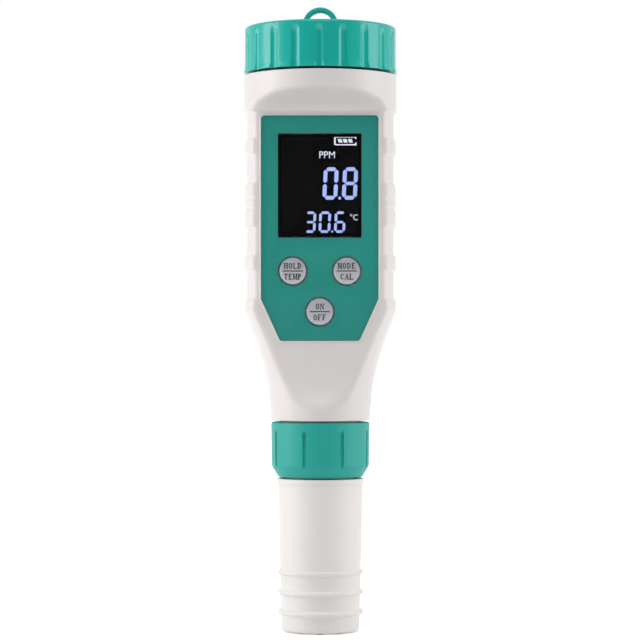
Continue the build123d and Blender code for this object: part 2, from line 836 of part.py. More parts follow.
def make_foot_pads():
    """Small round rubber pads pressed into the cap's base, which it stands on."""
    top = foot_pad_proud + foot_pad_depth - seat_gap
    return Compound([rod(foot_pad_radius, 0, top, x, y) for x, y in foot_pad_places])


def make_soaking_sponge():
    """Wet sponge pad in the bottom of the probe cap."""
    return rod(probe_cap_inner_base - loose_gap, probe_cap_floor, probe_cap_floor + sponge_height)


def make_electrode_body():
    """Barrel with a slotted guard below, a flange, and a plug that enters the spigot."""
    body = rod(barrel_radius, guard_low, flange_low_z) + rod(flange_radius, flange_low_z, flange_top_z)
    body += rod(plug_radius, flange_top_z, plug_top_z)
    body -= rod(barrel_bore, guard_low - 1, bulkhead_low)
    body -= rod(barrel_bore, bulkhead_low + bulkhead_thick, flange_low_z)
    body -= rod(plug_bore, flange_low_z - 1, plug_top_z + 1)
    slot = block((barrel_bore / 2, barrel_radius + 1), (-guard_slot_width / 2, guard_slot_width / 2),
                 (guard_slot_low, guard_slot_high))
    for step in range(guard_slot_count):
        body -= Rot(0, 0, (2 * step + 1) * 180 / guard_slot_count) * slot
    body -= rod(glass_tube_radius + seat_gap, guard_low, bulkhead_low + 3 * bulkhead_thick)
    for (x, y), radius in zip(sensor_places, sensor_radii()):
        body -= rod(radius + seat_gap, guard_low, bulkhead_low + 3 * bulkhead_thick, x, y)
    for z, wire, reach in seal_grooves():
        low, high = z - wire / 2 - seal_groove_side, z + wire / 2 + seal_groove_side
        body -= rod(flange_radius, low, high) - rod(reach - wire - seat_gap, low, high)
    return body


def sensor_radii():
    """Radius of each small sensor, in the order of its place round the bulb."""
    return [junction_radius, conductivity_radius, conductivity_radius, temperature_radius,
            conductivity_radius, platinum_radius]


def seal_grooves():
    """(height, section, outer radius) of the plug's seal and of the probe cap's seal."""
    return [(flange_top_z + plug_seal_height, plug_seal_wire, spigot_bore - running_gap),
            (cap_seal_height, cap_seal_wire, probe_cap_inner_radius(cap_seal_height) - running_gap)]


def make_seal(index):
    """O-ring in one of the electrode's two grooves."""
    z, wire, reach = seal_grooves()[index]
    return seal_ring(reach - wire, wire, z)


def make_potting_resin():
    """Resin that fills the barrel round the sensors, up to the pin carrier."""
    low = bulkhead_low + bulkhead_thick
    body = rod(barrel_bore - seat_gap, low, flange_low_z)
    body += rod(plug_bore - seat_gap, flange_low_z, carrier_low_z)
    body -= rod(glass_tube_radius + seat_gap, low - 1, glass_tube_top)
    body -= rod(wire_radius + seat_gap, low - 1, pin_foot_z)
    for (x, y), radius in zip(sensor_places, sensor_radii()):
        body -= rod(radius + seat_gap, low - 1, sensor_top, x, y)
    for x, y in pin_places:
        body -= rod(pin_radius + seat_gap, pin_foot_z, carrier_low_z + 1, x, y)
    return body


def make_ph_glass():
    """Glass tube blown out into a thin bulb at its tip."""
    bulb_z = bulb_tip + bulb_radius
    outer = rod(glass_tube_radius, bulb_z, glass_tube_top) + Pos(0, 0, bulb_z) * Sphere(bulb_radius)
    inner = rod(glass_tube_radius - glass_wall, bulb_z, glass_tube_top - glass_wall)
    inner += Pos(0, 0, bulb_z) * Sphere(bulb_radius - glass_wall)
    return outer - inner - rod(wire_radius + seat_gap, bulb_z, glass_tube_top + 1)


def make_ph_inner_wire():
    """Silver wire down the middle of the glass tube, soldered to a pin's foot above it."""
    return rod(wire_radius, bulb_tip + bulb_radius, pin_foot_z)


def make_sensor(index, tip=sensor_tip):
    """A round sensor rod through the bulkhead, with a blunt rounded tip."""
    x, y = sensor_places[index]
    radius = sensor_radii()[index]
    body = rod(radius, tip, sensor_top, x, y)
    return fillet(body.edges().sort_by(Axis.Z)[0], radius / 3)


def make_conductivity_pins():
    """Three metal pins of the conductivity cell."""
    return Compound([make_sensor(index) for index in (1, 2, 4)])


def make_pin_carrier():
    """Disc in the plug's end that holds the six pins."""
    body = rod(plug_bore - seat_gap, carrier_low_z, plug_top_z)
    for x, y in pin_places:
        body -= rod(pin_radius + seat_gap, carrier_low_z - 1, plug_top_z + 1, x, y)
    return body


def make_connector_pins():
    """Six gilt pins that plug into the socket."""
    return Compound([rod(pin_radius, pin_foot_z, plug_top_z + pin_rise, x, y) for x, y in pin_places])


nodes = {
    "top_cap": make_top_cap(),
    "contact_screw": make_contact_screw(),
    "contact_disc": make_contact_disc(),
    "bridge_contact": make_bridge_contact(),
    "housing": make_housing(),
    "cap_o_ring": make_cap_o_ring(),
    "front_panel": make_front_panel(),
    "panel_tape": make_panel_tape(),
    "display_window": make_display_window(),
    "window_gasket": make_window_gasket(),
    "lcd_glass": make_lcd_glass(),
    "lcd_backlight": make_lcd_backlight(),
    "lcd_connector_strip": make_lcd_connector_strip(),
    "display_frame": make_display_frame(),
    "main_board": make_main_board(),
    "board_chips": make_board_chips(),
    "display_screws": make_screws(upper_screw, glass_front_y + frame_sink),
    "board_screws": make_screws(lower_screw, board_front_y),
    "tact_switches": make_tact_switches(),
    "key_mat": make_key_mat(),
    "battery_holder": make_battery_holder(),
    "battery_springs": make_battery_springs(),
    "battery_terminals": make_battery_terminals(),
    "probe_socket": make_probe_socket(),
    "collar_nut": make_collar_nut(),
    "electrode_body": make_electrode_body(),
    "potting_resin": make_potting_resin(),
    "ph_glass": make_ph_glass(),
    "ph_inner_wire": make_ph_inner_wire(),
    "reference_junction": make_sensor(0),
    "temperature_probe": make_sensor(3),
    "conductivity_pins": make_conductivity_pins(),
    "platinum_pin": make_sensor(5),
    "electrode_o_ring": make_seal(0),
    "cap_seal_ring": make_seal(1),
    "pin_carrier": make_pin_carrier(),
    "connector_pins": make_connector_pins(),
    "probe_cap": make_probe_cap(),
    "foot_pads": make_foot_pads(),
    "soaking_sponge": make_soaking_sponge(),
}
for side in key_places:
    nodes[f"key_{side}"] = make_key(side)
    nodes[f"plunger_{side}"] = make_plunger(side)
for side in cell_places:
    nodes[f"battery_{side}"] = make_battery(side)

os.makedirs("parts", exist_ok=True)
for name, solid in nodes.items():
    export_step(solid, f"parts/{name}.step")
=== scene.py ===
import math

import bmesh
import bpy
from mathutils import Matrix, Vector


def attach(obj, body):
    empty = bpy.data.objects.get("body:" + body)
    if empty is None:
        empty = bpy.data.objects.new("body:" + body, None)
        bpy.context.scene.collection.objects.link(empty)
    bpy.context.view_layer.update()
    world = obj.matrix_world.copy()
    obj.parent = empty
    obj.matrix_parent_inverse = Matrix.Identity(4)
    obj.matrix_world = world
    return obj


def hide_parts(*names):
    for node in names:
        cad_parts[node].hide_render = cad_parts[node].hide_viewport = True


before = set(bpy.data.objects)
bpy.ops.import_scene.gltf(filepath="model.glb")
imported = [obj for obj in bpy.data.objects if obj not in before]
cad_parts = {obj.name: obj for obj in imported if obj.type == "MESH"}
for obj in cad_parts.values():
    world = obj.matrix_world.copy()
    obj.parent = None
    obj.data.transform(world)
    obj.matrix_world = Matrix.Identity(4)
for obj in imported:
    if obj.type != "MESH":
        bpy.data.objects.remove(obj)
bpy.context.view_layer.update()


# Housing: one white moulded tube. The front is cut flat for the panel, with a scooped brow above and a
# chin that runs out below. Pads and shallow grooves ring the grip, and both ends carry a screw thread.
mm = 0.001
housing_low, housing_high = 62.6, 164.6
rim_radius, pad_radius, groove_radius, waist_radius, hollow_radius = 22.5, 22.35, 22.05, 21.7, 20.0
neck_radius, flange_bore, neck_bore, neck_top = 18.6, 16.8, 15.6, 175.0
ankle_radius, ankle_up, flare_long = 15.2, 6.5, 23.8
spigot_radius, spigot_bore, spigot_low = 11.4, 9.5, 51.0
flat_depth, brow_up, brow_high, brow_deep = 10.8, 90.6, 6.0, 11.7
chin = ((4.3, 14.9, -0.77), (10.9, 12.0, -0.27), (21.4, flat_depth, 0.0))


def placed(name, data):
    """A new object in the scene, from its mesh, curve, lamp or camera."""
    piece = bpy.data.objects.new(name, data)
    bpy.context.collection.objects.link(piece)
    return piece


def from_faces(name, verts, faces):
    """A new piece from its corners, in metres, and its faces."""
    mesh = bpy.data.meshes.new(name)
    mesh.from_pydata(verts, [], faces)
    return placed(name, mesh)


def corner_of(points, i):
    """A corner of an outline, with the corner before it and the corner after it."""
    return Vector(points[i]), Vector(points[i - 1]), Vector(points[(i + 1) % len(points)])


def eased(points, radius, closed=True):
    """An outline with its corners rounded off."""
    out = []
    steps, most_of_side = 3, 0.45
    for i, point in enumerate(points):
        if not closed and i in (0, len(points) - 1):
            out.append(tuple(point))
            continue
        here, before, after = corner_of(points, i)
        back, on = before - here, after - here
        reach = min(radius, most_of_side * back.length, most_of_side * on.length)
        start, end = here + back.normalized() * reach, here + on.normalized() * reach
        for step in range(steps + 1):
            t = step / steps
            out.append(tuple(start * (1 - t) ** 2 + here * 2 * t * (1 - t) + end * t * t))
    return out


def stepped(points, longest, closed=True):
    """The same outline with its long runs divided, so that a curve cut across them stays smooth."""
    out = []
    for i, point in enumerate(points):
        out.append(tuple(point))
        if not closed and i == len(points) - 1:
            break
        here, after = Vector(point), Vector(points[(i + 1) % len(points)])
        parts = math.ceil((after - here).length / longest)
        out += [tuple(here.lerp(after, part / parts)) for part in range(1, parts)]
    return out


def turned(name, outline, angles, cut=None, closed=True):
    """A shell turned about the meter's axis, from (radius, height) in mm, up outside and down inside."""
    rings, verts, faces = [], [], []
    on_axis = 1e-6
    for k, (radius, height) in enumerate(outline):
        if radius < on_axis:
            rings.append([len(verts)] * len(angles))
            verts.append((0.0, 0.0, height * mm))
            continue
        rings.append(range(len(verts), len(verts) + len(angles)))
        for angle in angles:
            reach = cut(radius, height, angle, k) if cut else radius
            verts.append((reach * math.sin(angle) * mm, -reach * math.cos(angle) * mm, height * mm))
    last = len(rings) if closed else len(rings) - 1
    for k in range(last):
        low, high = rings[k], rings[(k + 1) % len(rings)]
        for j in range(len(angles)):
            i = (j + 1) % len(angles)
            corners = [low[j], low[i], high[i], high[j]]
            face = [c for n, c in enumerate(corners) if c not in corners[:n]]
            if len(face) > 2:
                faces.append(face)
    return from_faces(name, verts, faces)


def settle(piece):
    """Works the piece's modifiers into its mesh and takes them off. A curve or a word becomes a mesh."""
    graph = bpy.context.evaluated_depsgraph_get()
    mesh = bpy.data.meshes.new_from_object(piece.evaluated_get(graph), depsgraph=graph)
    piece.modifiers.clear()
    if piece.type == "MESH":
        piece.data = mesh
        return piece
    solid = placed(piece.name + "_solid", mesh)
    bpy.data.objects.remove(piece)
    return solid


def prism(name, outline, front, back):
    """A closed plate from an (x, height) outline in mm, between two depths."""
    count = len(outline)
    verts = [(x * mm, depth * mm, z * mm) for depth in (front, back) for x, z in outline]
    faces = [list(range(count)), list(range(2 * count - 1, count - 1, -1))]
    faces += [[(i + 1) % count, i, i + count, (i + 1) % count + count] for i in range(count)]
    return from_faces(name, verts, faces)


def carve(piece, cutter):
    """Takes the cutter's shape out of the piece."""
    tool = piece.modifiers.new("carve", "BOOLEAN")
    tool.operation = "DIFFERENCE"
    tool.solver = "MANIFOLD"
    tool.object = cutter
    settle(piece)
    bpy.data.objects.remove(cutter)


def joined(name, pieces):
    """Several meshes made one piece."""
    whole = bmesh.new()
    for piece in pieces:
        whole.from_mesh(piece.data)
    mesh = bpy.data.meshes.new(name)
    whole.to_mesh(mesh)
    whole.free()
    for piece in pieces:
        bpy.data.objects.remove(piece)
    return placed(name, mesh)


def smoothed(piece, crease):
    """Smooth shading, with a crease where two faces meet at more than so many degrees."""
    piece.data.polygons.foreach_set("use_smooth", [True] * len(piece.data.polygons))
    piece.data.set_sharp_from_angle(angle=math.radians(crease))


def coat(piece, material):
    """Gives a piece one finish all over."""
    piece.data.materials.clear()
    piece.data.materials.append(material)


def corner_arcs(points, radius, steps=6):
    """A convex outline with true round corners, its radius the same at each."""
    out = []
    for i, point in enumerate(points):
        here, before, after = corner_of(points, i)
        a, b = (before - here).normalized(), (after - here).normalized()
        half = a.angle(b) / 2
        middle = here + (a + b).normalized() * (radius / math.sin(half))
        start = here + a * (radius / math.tan(half)) - middle
        end = here + b * (radius / math.tan(half)) - middle
        turn = start.angle_signed(end)
        for step in range(steps + 1):
            angle = -turn * step / steps
            x = start.x * math.cos(angle) - start.y * math.sin(angle)
            y = start.x * math.sin(angle) + start.y * math.cos(angle)
            out.append((middle.x + x, middle.y + y))
    return out


def panel_outline(grow):
    """The bezel panel's outline, counted from its own edge."""
    half, foot, corner, least_corner = 17.15, 11.6, 1.0, 0.15
    low, shoulder, top = housing_low + 23.5, housing_low + 35.7, housing_low + 89.4
    slant = math.atan2(half - foot, shoulder - low)
    side = grow * (1 - math.sin(slant)) / math.cos(slant)
    bend = shoulder - grow * math.tan(slant / 2)
    points = [(foot + side, low - grow), (half + grow, bend), (half + grow, top + grow),
              (-half - grow, top + grow), (-half - grow, bend), (-foot - side, low - grow)]
    return corner_arcs(points, max(corner + grow, least_corner))


def front_depth(height):
    """How far the cut front lies before the axis, at a height up the housing.

    Each row of the chin is a height, a depth and a slope, and a smooth curve runs from row to row.
    """
    foot, knee, top = chin
    up = height - housing_low
    if up >= brow_up:
        return flat_depth + brow_deep * ((up - brow_up) / brow_high) ** 1.7
    if up >= top[0]:
        return flat_depth
    if up <= foot[0]:
        return foot[1] - (foot[0] - up) * foot[2]
    low, high = (knee, top) if up > knee[0] else (foot, knee)
    span = high[0] - low[0]
    t = (up - low[0]) / span
    value = (2 * t ** 3 - 3 * t ** 2 + 1) * low[1] + (t ** 3 - 2 * t ** 2 + t) * span * low[2]
    return value + (3 * t ** 2 - 2 * t ** 3) * high[1] + (t ** 3 - t ** 2) * span * high[2]


def flare(up, inset=0.0):
    """Radius of the housing's flare, from the ankle up to the grip."""
    return ankle_radius + 6.4 * ((up - ankle_up) / flare_long) ** 1.57 - inset


grip = [(pad_radius, 32.5), (pad_radius, 35.4)]
for low, high in ((44.1, 48.8), (56.9, 70.0), (78.0, 83.0)):
    grip += [(waist_radius, grip[-1][1] + 0.5), (waist_radius, low), (pad_radius, low + 0.5)]
    for notch in (62.4, 65.4):
        if low < notch < high:
            grip += [(pad_radius, notch - 0.6), (groove_radius, notch - 0.3), (groove_radius, notch + 0.3),
                     (pad_radius, notch + 0.6)]
    grip.append((pad_radius, high - 0.5))
grip += [(waist_radius, 83.0), (waist_radius, 90.5), (rim_radius, 91.0)]
outside = [(spigot_bore, spigot_low), (spigot_radius, spigot_low), (spigot_radius, housing_low),
           (14.7, housing_low)]
outside += [(flare(ankle_up + flare_long * step / 14), housing_low + ankle_up + flare_long * step / 14)
            for step in range(15)]
outside += [(radius, housing_low + up) for radius, up in grip]
outside += [(rim_radius, housing_high), (neck_radius, housing_high), (neck_radius, neck_top),
            (flange_bore, neck_top), (flange_bore, 172.0), (neck_bore, 172.0)]
inside = [(neck_bore, 162.5), (hollow_radius, 162.5), (hollow_radius, 95.1)]
inside += [(flare(ankle_up + flare_long * share, 2.0), housing_low + ankle_up + flare_long * share)
           for share in (1.0, 0.6, 0.3, 0.0)]
inside += [(spigot_bore, 63.6)]
coarse_skin = stepped(eased(outside, 0.35, closed=False), 1.5, closed=False)
curved_rows = ((63.0, 84.0), (152.5, 161.5))
skin = []
for spot, after in zip(coarse_skin, coarse_skin[1:] + coarse_skin[-1:]):
    skin.append(spot)
    if spot[0] > 14.0 and any(low < spot[1] < high for low, high in curved_rows):
        skin += [tuple(Vector(spot).lerp(Vector(after), part / 3)) for part in (1, 2)]
shell_outline = skin + stepped(inside, 6.0, closed=False)
front_angles = [math.radians(a * 0.9) for a in range(-55, 56)]
side_angles = [math.radians(50 + a * 0.4) for a in range(1, 54)]
back_angles = [math.radians(72 + a * 4.0) for a in range(0, 55)]
shell_angles = front_angles + side_angles + back_angles + [-a for a in reversed(side_angles)]


def flat_front(radius, height, angle, k):
    """Where the flat, brow and chin cut the turned wall, their edge a little rounded."""
    wall, edge, brow_edge, brow_foot = 3.2, 1.4, 2.0, 153.2
    ahead = math.cos(angle)
    if ahead < 0.05:
        return radius
    if k >= len(skin):
        return min(radius, (front_depth(height) - wall) / ahead)
    flat = front_depth(height) / ahead
    softness = edge + brow_edge * min(max((height - brow_foot) / 3.0, 0.0), 1.0)
    blend = max(softness - abs(radius - flat), 0.0) / softness
    return min(radius, flat) - blend * blend * softness / 4


housing = turned("housing_shell", shell_outline, shell_angles, flat_front)
carve(housing, prism("panel_pocket", panel_outline(0.05), front=-14.0, back=-8.8))
carve(housing, prism("panel_hole", panel_outline(-1.2), front=-9.5, back=-5.0))


class Term:
    """One socket of a node tree. Plain sums on terms add the Math nodes that work them out."""

    def __init__(self, tree, socket):
        self.tree = tree
        self.socket = socket

    def math(self, operation, *others, swap=False):
        """Adds the Math node that works out this term with the others, or the others with this term."""
        node = self.tree.nodes.new("ShaderNodeMath")
        node.operation = operation
        values = [*others, self] if swap else [self, *others]
        for entry, value in zip(node.inputs, values):
            if isinstance(value, Term):
                self.tree.links.new(value.socket, entry)
            else:
                entry.default_value = value
        return Term(self.tree, node.outputs[0])

    def __add__(self, other):
        return self.math("ADD", other)

    def __radd__(self, other):
        return self.math("ADD", other, swap=True)

    def __sub__(self, other):
        return self.math("SUBTRACT", other)

    def __rsub__(self, other):
        return self.math("SUBTRACT", other, swap=True)

    def __mul__(self, other):
        return self.math("MULTIPLY", other)

    def __rmul__(self, other):
        return self.math("MULTIPLY", other, swap=True)

    def __truediv__(self, other):
        return self.math("DIVIDE", other)

    def __rtruediv__(self, other):
        return self.math("DIVIDE", other, swap=True)

    def __pow__(self, other):
        return self.math("POWER", other)


class Tree:
    """A node tree that is written node by node."""

    def __init__(self, tree):
        self.tree = tree

    def node(self, kind, settings=None, values=None, output=0):
        """Adds a node: its settings first, then the values or links of its sockets."""
        node = self.tree.nodes.new(kind)
        for key, value in (settings or {}).items():
            setattr(node, key, value)
        for key, value in (values or {}).items():
            if isinstance(value, Term):
                self.tree.links.new(value.socket, node.inputs[key])
            else:
                node.inputs[key].default_value = value
        return Term(self.tree, node.outputs[output])


def tint(red, green, blue):
    """A colour as it is seen on a screen, 0 to 255, made linear."""
    parts = [c / 255 for c in (red, green, blue)]
    return tuple([c / 12.92 if c <= 0.04045 else ((c + 0.055) / 1.055) ** 2.4 for c in parts] + [1.0])


class Finish(Tree):
    """A procedural material: a Principled surface and the nodes that feed it."""

    def __init__(self, name, colour, roughness, **fixed):
        self.material = bpy.data.materials.new(name)
        self.material.use_nodes = True
        super().__init__(self.material.node_tree)
        self.surface = self.tree.nodes["Principled BSDF"]
        self.surface.inputs["Base Color"].default_value = colour
        self.surface.inputs["Roughness"].default_value = roughness
        for key, value in fixed.items():
            self.surface.inputs[key.replace("_", " ")].default_value = value
        self.place = self.node("ShaderNodeTexCoord", output="Object")

    def noise(self, scale, detail=3.0, stretch=(1.0, 1.0, 1.0)):
        """Fine noise in the piece's own space, with so many cells to a metre."""
        place = self.node("ShaderNodeMapping", {"vector_type": "POINT"},
                          {"Vector": self.place, "Scale": stretch})
        return self.node("ShaderNodeTexNoise", {}, {"Vector": place, "Scale": scale, "Detail": detail})

    def feed(self, socket, term):
        """Links a term to a socket of the surface."""
        self.tree.links.new(term.socket, self.surface.inputs[socket])
        return self

    def blend(self, amount, first, second):
        """A colour between two colours."""
        colours = {0: amount, 6: first, 7: second}
        return self.node("ShaderNodeMix", {"data_type": "RGBA"}, colours, output=2)

    def vary_colour(self, amount, first, second):
        """Base colour that drifts between two colours."""
        return self.feed("Base Color", self.blend(amount, first, second))

    def grain(self, height, strength, depth):
        """A bump from a height, in parts of a metre."""
        bump = self.node("ShaderNodeBump", {}, {"Strength": strength, "Distance": depth, "Height": height})
        return self.feed("Normal", bump)


def moulded(name, colour, shade, roughness, grain=9000.0, depth=0.00003, strength=0.25):
    """Moulded plastic: a faint drift of tone, uneven sheen and the fine bite of a textured mould."""
    finish = Finish(name, colour, roughness)
    drift = finish.noise(38.0, 4.0)
    sheen = finish.noise(260.0, 5.0)
    bite = finish.noise(grain, 2.0)
    finish.vary_colour(drift * 1.6 - 0.3, colour, shade)
    finish.feed("Roughness", roughness - 0.05 + sheen * 0.1)
    finish.grain(bite, strength, depth)
    return finish.material


white_shell = moulded("white_shell", tint(241, 236, 234), tint(236, 230, 228), 0.42)


def opened_tree(name, sizes, given_shape=False):
    """A geometry tree with named inputs, and the terms that they bring."""
    group = bpy.data.node_groups.new(name, "GeometryNodeTree")
    face = group.interface
    if given_shape:
        face.new_socket("Geometry", in_out="INPUT", socket_type="NodeSocketGeometry")
    for title in sizes:
        face.new_socket(title, in_out="INPUT", socket_type="NodeSocketFloat")
    face.new_socket("Material", in_out="INPUT", socket_type="NodeSocketMaterial")
    face.new_socket("Geometry", in_out="OUTPUT", socket_type="NodeSocketGeometry")
    given = group.nodes.new("NodeGroupInput")
    return Tree(group), [Term(group, socket) for socket in given.outputs[:-1]]


def finished_tree(tree, shape, paint):
    """Ends a geometry tree: the shape made smooth and real, and given its material."""
    smooth = tree.node("GeometryNodeSetShadeSmooth", {}, {0: shape})
    real = tree.node("GeometryNodeRealizeInstances", {}, {0: smooth})
    done = tree.node("GeometryNodeSetMaterial", {}, {"Geometry": real, "Material": paint})
    tree.tree.links.new(done.socket, tree.tree.nodes.new("NodeGroupOutput").inputs[0])
    return tree.tree


def thread_tree():
    """Geometry nodes: a round ridge that winds up a wall."""
    sizes = ("Wall radius", "Pitch", "Turns", "Foot height", "Ridge radius")
    tree, (wall, pitch, turns, foot, ridge, paint) = opened_tree("screw_thread", sizes)
    spiral = tree.node("GeometryNodeCurveSpiral", {},
                       {"Resolution": 72, "Rotations": turns, "Start Radius": wall, "End Radius": wall,
                        "Height": pitch * turns})
    upright = tree.node("GeometryNodeSetCurveNormal", {"mode": "Z_UP"}, {0: spiral})
    section = tree.node("GeometryNodeCurvePrimitiveCircle", {"mode": "RADIUS"},
                        {"Resolution": 12, "Radius": ridge})
    ridge_mesh = tree.node("GeometryNodeCurveToMesh", {},
                           {"Curve": upright, "Profile Curve": section, "Fill Caps": True})
    lift = tree.node("ShaderNodeCombineXYZ", {}, {"Z": foot})
    raised = tree.node("GeometryNodeTransform", {}, {"Geometry": ridge_mesh, "Translation": lift})
    return finished_tree(tree, raised, paint)


def grown(name, group, mesh=None, **values):
    """Runs a geometry tree on a new piece and keeps its plain mesh."""
    piece = placed(name, mesh or bpy.data.meshes.new(name))
    tool = piece.modifiers.new(name, "NODES")
    tool.node_group = group
    wanted = {key.replace("_", " ").lower(): value for key, value in values.items()}
    for entry in group.interface.items_tree:
        if entry.in_out == "INPUT" and entry.name.lower() in wanted:
            tool[entry.identifier] = wanted[entry.name.lower()]
    return settle(piece)


def thread(name, radius, pitch, length, foot, ridge, material):
    """One screw thread in mm, its ridge half sunk in the wall."""
    return grown(name, screw_thread, Wall_radius=radius * mm, Pitch=pitch * mm, Turns=length / pitch,
                 Foot_height=foot * mm, Ridge_radius=ridge * mm, Material=material)


def drawn(curve, points):
    """Adds a closed line of straight runs to a curve, through (x, y, z) points in mm."""
    line = curve.splines.new("POLY")
    line.points.add(len(points) - 1)
    for spot, (x, y, z) in zip(line.points, points):
        spot.co = (x * mm, y * mm, z * mm, 1.0)
    line.use_cyclic_u = True


def tube_along(name, points, radius):
    """A closed round bead through (x, y, z) points in mm."""
    curve = bpy.data.curves.new(name, "CURVE")
    curve.dimensions = "3D"
    curve.bevel_depth = radius * mm
    curve.bevel_resolution = 3
    drawn(curve, points)
    return settle(placed(name, curve))


screw_thread = thread_tree()
neck_thread = thread("neck_thread", neck_radius, pitch=3.0, length=5.0, foot=168.6, ridge=0.75,
                     material=white_shell)
spigot_thread = thread("spigot_thread", spigot_radius, pitch=2.5, length=6.6, foot=52.7, ridge=0.65,
                       material=white_shell)
lip = tube_along("panel_lip", [(x, -10.88, z) for x, z in panel_outline(0.25)], 0.2)
housing = joined("housing_body", [housing, neck_thread, spigot_thread, lip])
smoothed(housing, 38)
coat(housing, white_shell)
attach(housing, "handset")
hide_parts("housing")


# Front panel: a flat teal plate glued into the housing's pocket. It is moulded with a fine matt face,
# a stepped opening for the lens and three key holes, each with a small broken edge.
def flat_plate(name, outlines, front, back, edge, resolution=2):
    """A plate with holes, from (x, height) outlines in mm, its edges broken by a small bevel."""
    curve = bpy.data.curves.new(name, "CURVE")
    curve.dimensions = "2D"
    curve.fill_mode = "BOTH"
    curve.extrude = ((back - front) / 2 - edge) * mm
    curve.bevel_depth = edge * mm
    curve.bevel_resolution = resolution
    curve.offset = -edge * mm
    for outline in outlines:
        drawn(curve, [(x, z, 0.0) for x, z in outline])
    piece = settle(placed(name, curve))
    shape = bmesh.new()
    shape.from_mesh(piece.data)
    bmesh.ops.remove_doubles(shape, verts=shape.verts, dist=1e-7)
    for vert in shape.verts:
        x, z, depth = vert.co
        vert.co = (x, (front + back) / 2 * mm - depth, z)
    bmesh.ops.recalc_face_normals(shape, faces=shape.faces)
    shape.to_mesh(piece.data)
    shape.free()
    smoothed(piece, 30)
    return piece


def full_turn(count):
    """So many equal steps round a circle, in radians."""
    return [2 * math.pi * step / count for step in range(count)]


def ring_outline(x, z, radius, steps=72):
    """A circle as an (x, height) outline."""
    return [(x + radius * math.cos(turn), z + radius * math.sin(turn)) for turn in full_turn(steps)]


def box_outline(half, low, high, corner):
    """A rectangle about the middle with round corners."""
    return corner_arcs([(half, low), (half, high), (-half, high), (-half, low)], corner, 5)


keys = {"left": (-7.9, 106.5), "right": (7.9, 106.5), "power": (0.0, 94.6)}
window_low, window_high = housing_low + 53.6, housing_low + 84.3
panel_front, panel_step, panel_rear = -10.6, -9.5, -9.0
key_holes = [ring_outline(x, z, 4.35) for x, z in keys.values()]
opening = box_outline(12.27, window_low, window_high, 0.3)
sight = box_outline(11.17, window_low + 1.1, window_high - 1.1, 0.3)
upper = flat_plate("panel_face", [panel_outline(0.0), opening] + key_holes, panel_front, panel_step, 0.12)
lower = flat_plate("panel_back", [panel_outline(0.0), sight] + key_holes, panel_step, panel_rear, 0.02)
panel = joined("front_panel_plate", [upper, lower])
smoothed(panel, 30)
teal_panel = moulded("teal_panel", tint(18, 153, 141), tint(24, 146, 135), 0.55, grain=14000.0, strength=0.3)
coat(panel, teal_panel)
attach(panel, "handset")
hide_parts("front_panel")


# Display: a clear lens bonded into the panel, with a printed border behind it, over a black display.
# The lit segments are blue-white, and they show a reading, a temperature, the unit and a battery sign.
lens_outline = box_outline(12.22, window_low + 0.05, window_high - 0.05, 0.28)
lens = flat_plate("window_lens", [lens_outline], front=-10.55, back=-9.55, edge=0.08)
lens_clear = Finish("window_lens", (1.0, 1.0, 1.0, 1.0), 0.03, IOR=1.49, Transmission_Weight=1.0)
smear = lens_clear.noise(120.0, 6.0)
lens_clear.feed("Roughness", 0.01 + smear * 0.02)
coat(lens, lens_clear.material)
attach(lens, "handset")
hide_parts("display_window")

mask_outer = box_outline(12.2, window_low + 0.07, window_high - 0.07, 0.28)
mask_inner = box_outline(11.1, window_low + 1.17, window_high - 1.17, 0.3)
mask = flat_plate("window_mask", [mask_outer, mask_inner], front=-9.545, back=-9.505, edge=0.005,
                  resolution=0)
mask_ink = Finish("window_mask", tint(2, 2, 3), 0.5, Specular_IOR_Level=0.1)
mask_ink.feed("Roughness", 0.45 + mask_ink.noise(900.0) * 0.1)
coat(mask, mask_ink.material)
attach(mask, "handset")

black_glass = Finish("display_glass", tint(5, 5, 7), 0.18)
black_glass.feed("Roughness", 0.14 + black_glass.noise(500.0, 4.0) * 0.08)
black_glass.grain(black_glass.noise(60.0, 2.0), 0.05, 0.00002)
coat(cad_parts["lcd_glass"], black_glass.material)
window_middle = (window_low + window_high) / 2
lit_front, lit_middle, lit_back = -8.56, -8.54, -8.52


def outward(piece):
    """Turns every face of a piece to look outward."""
    shape = bmesh.new()
    shape.from_mesh(piece.data)
    bmesh.ops.recalc_face_normals(shape, faces=shape.faces)
    shape.to_mesh(piece.data)
    shape.free()


def laid_on(name, outlines, front, back):
    """Thin solid shapes laid on a front face, from (x, height) outlines in mm."""
    parts = []
    for outline in outlines:
        area = sum(a[0] * b[1] - b[0] * a[1] for a, b in zip(outline, outline[1:] + outline[:1]))
        parts.append(prism(name, outline if area < 0 else outline[::-1], front, back))
    piece = joined(name, parts)
    outward(piece)
    return piece


def lit_shapes(name, outlines):
    """Lit shapes on the display glass, from (x, height) outlines in mm about the window's middle."""
    lifted = [[(x, window_middle + z) for x, z in outline] for outline in outlines]
    return laid_on(name, lifted, lit_front, lit_back)


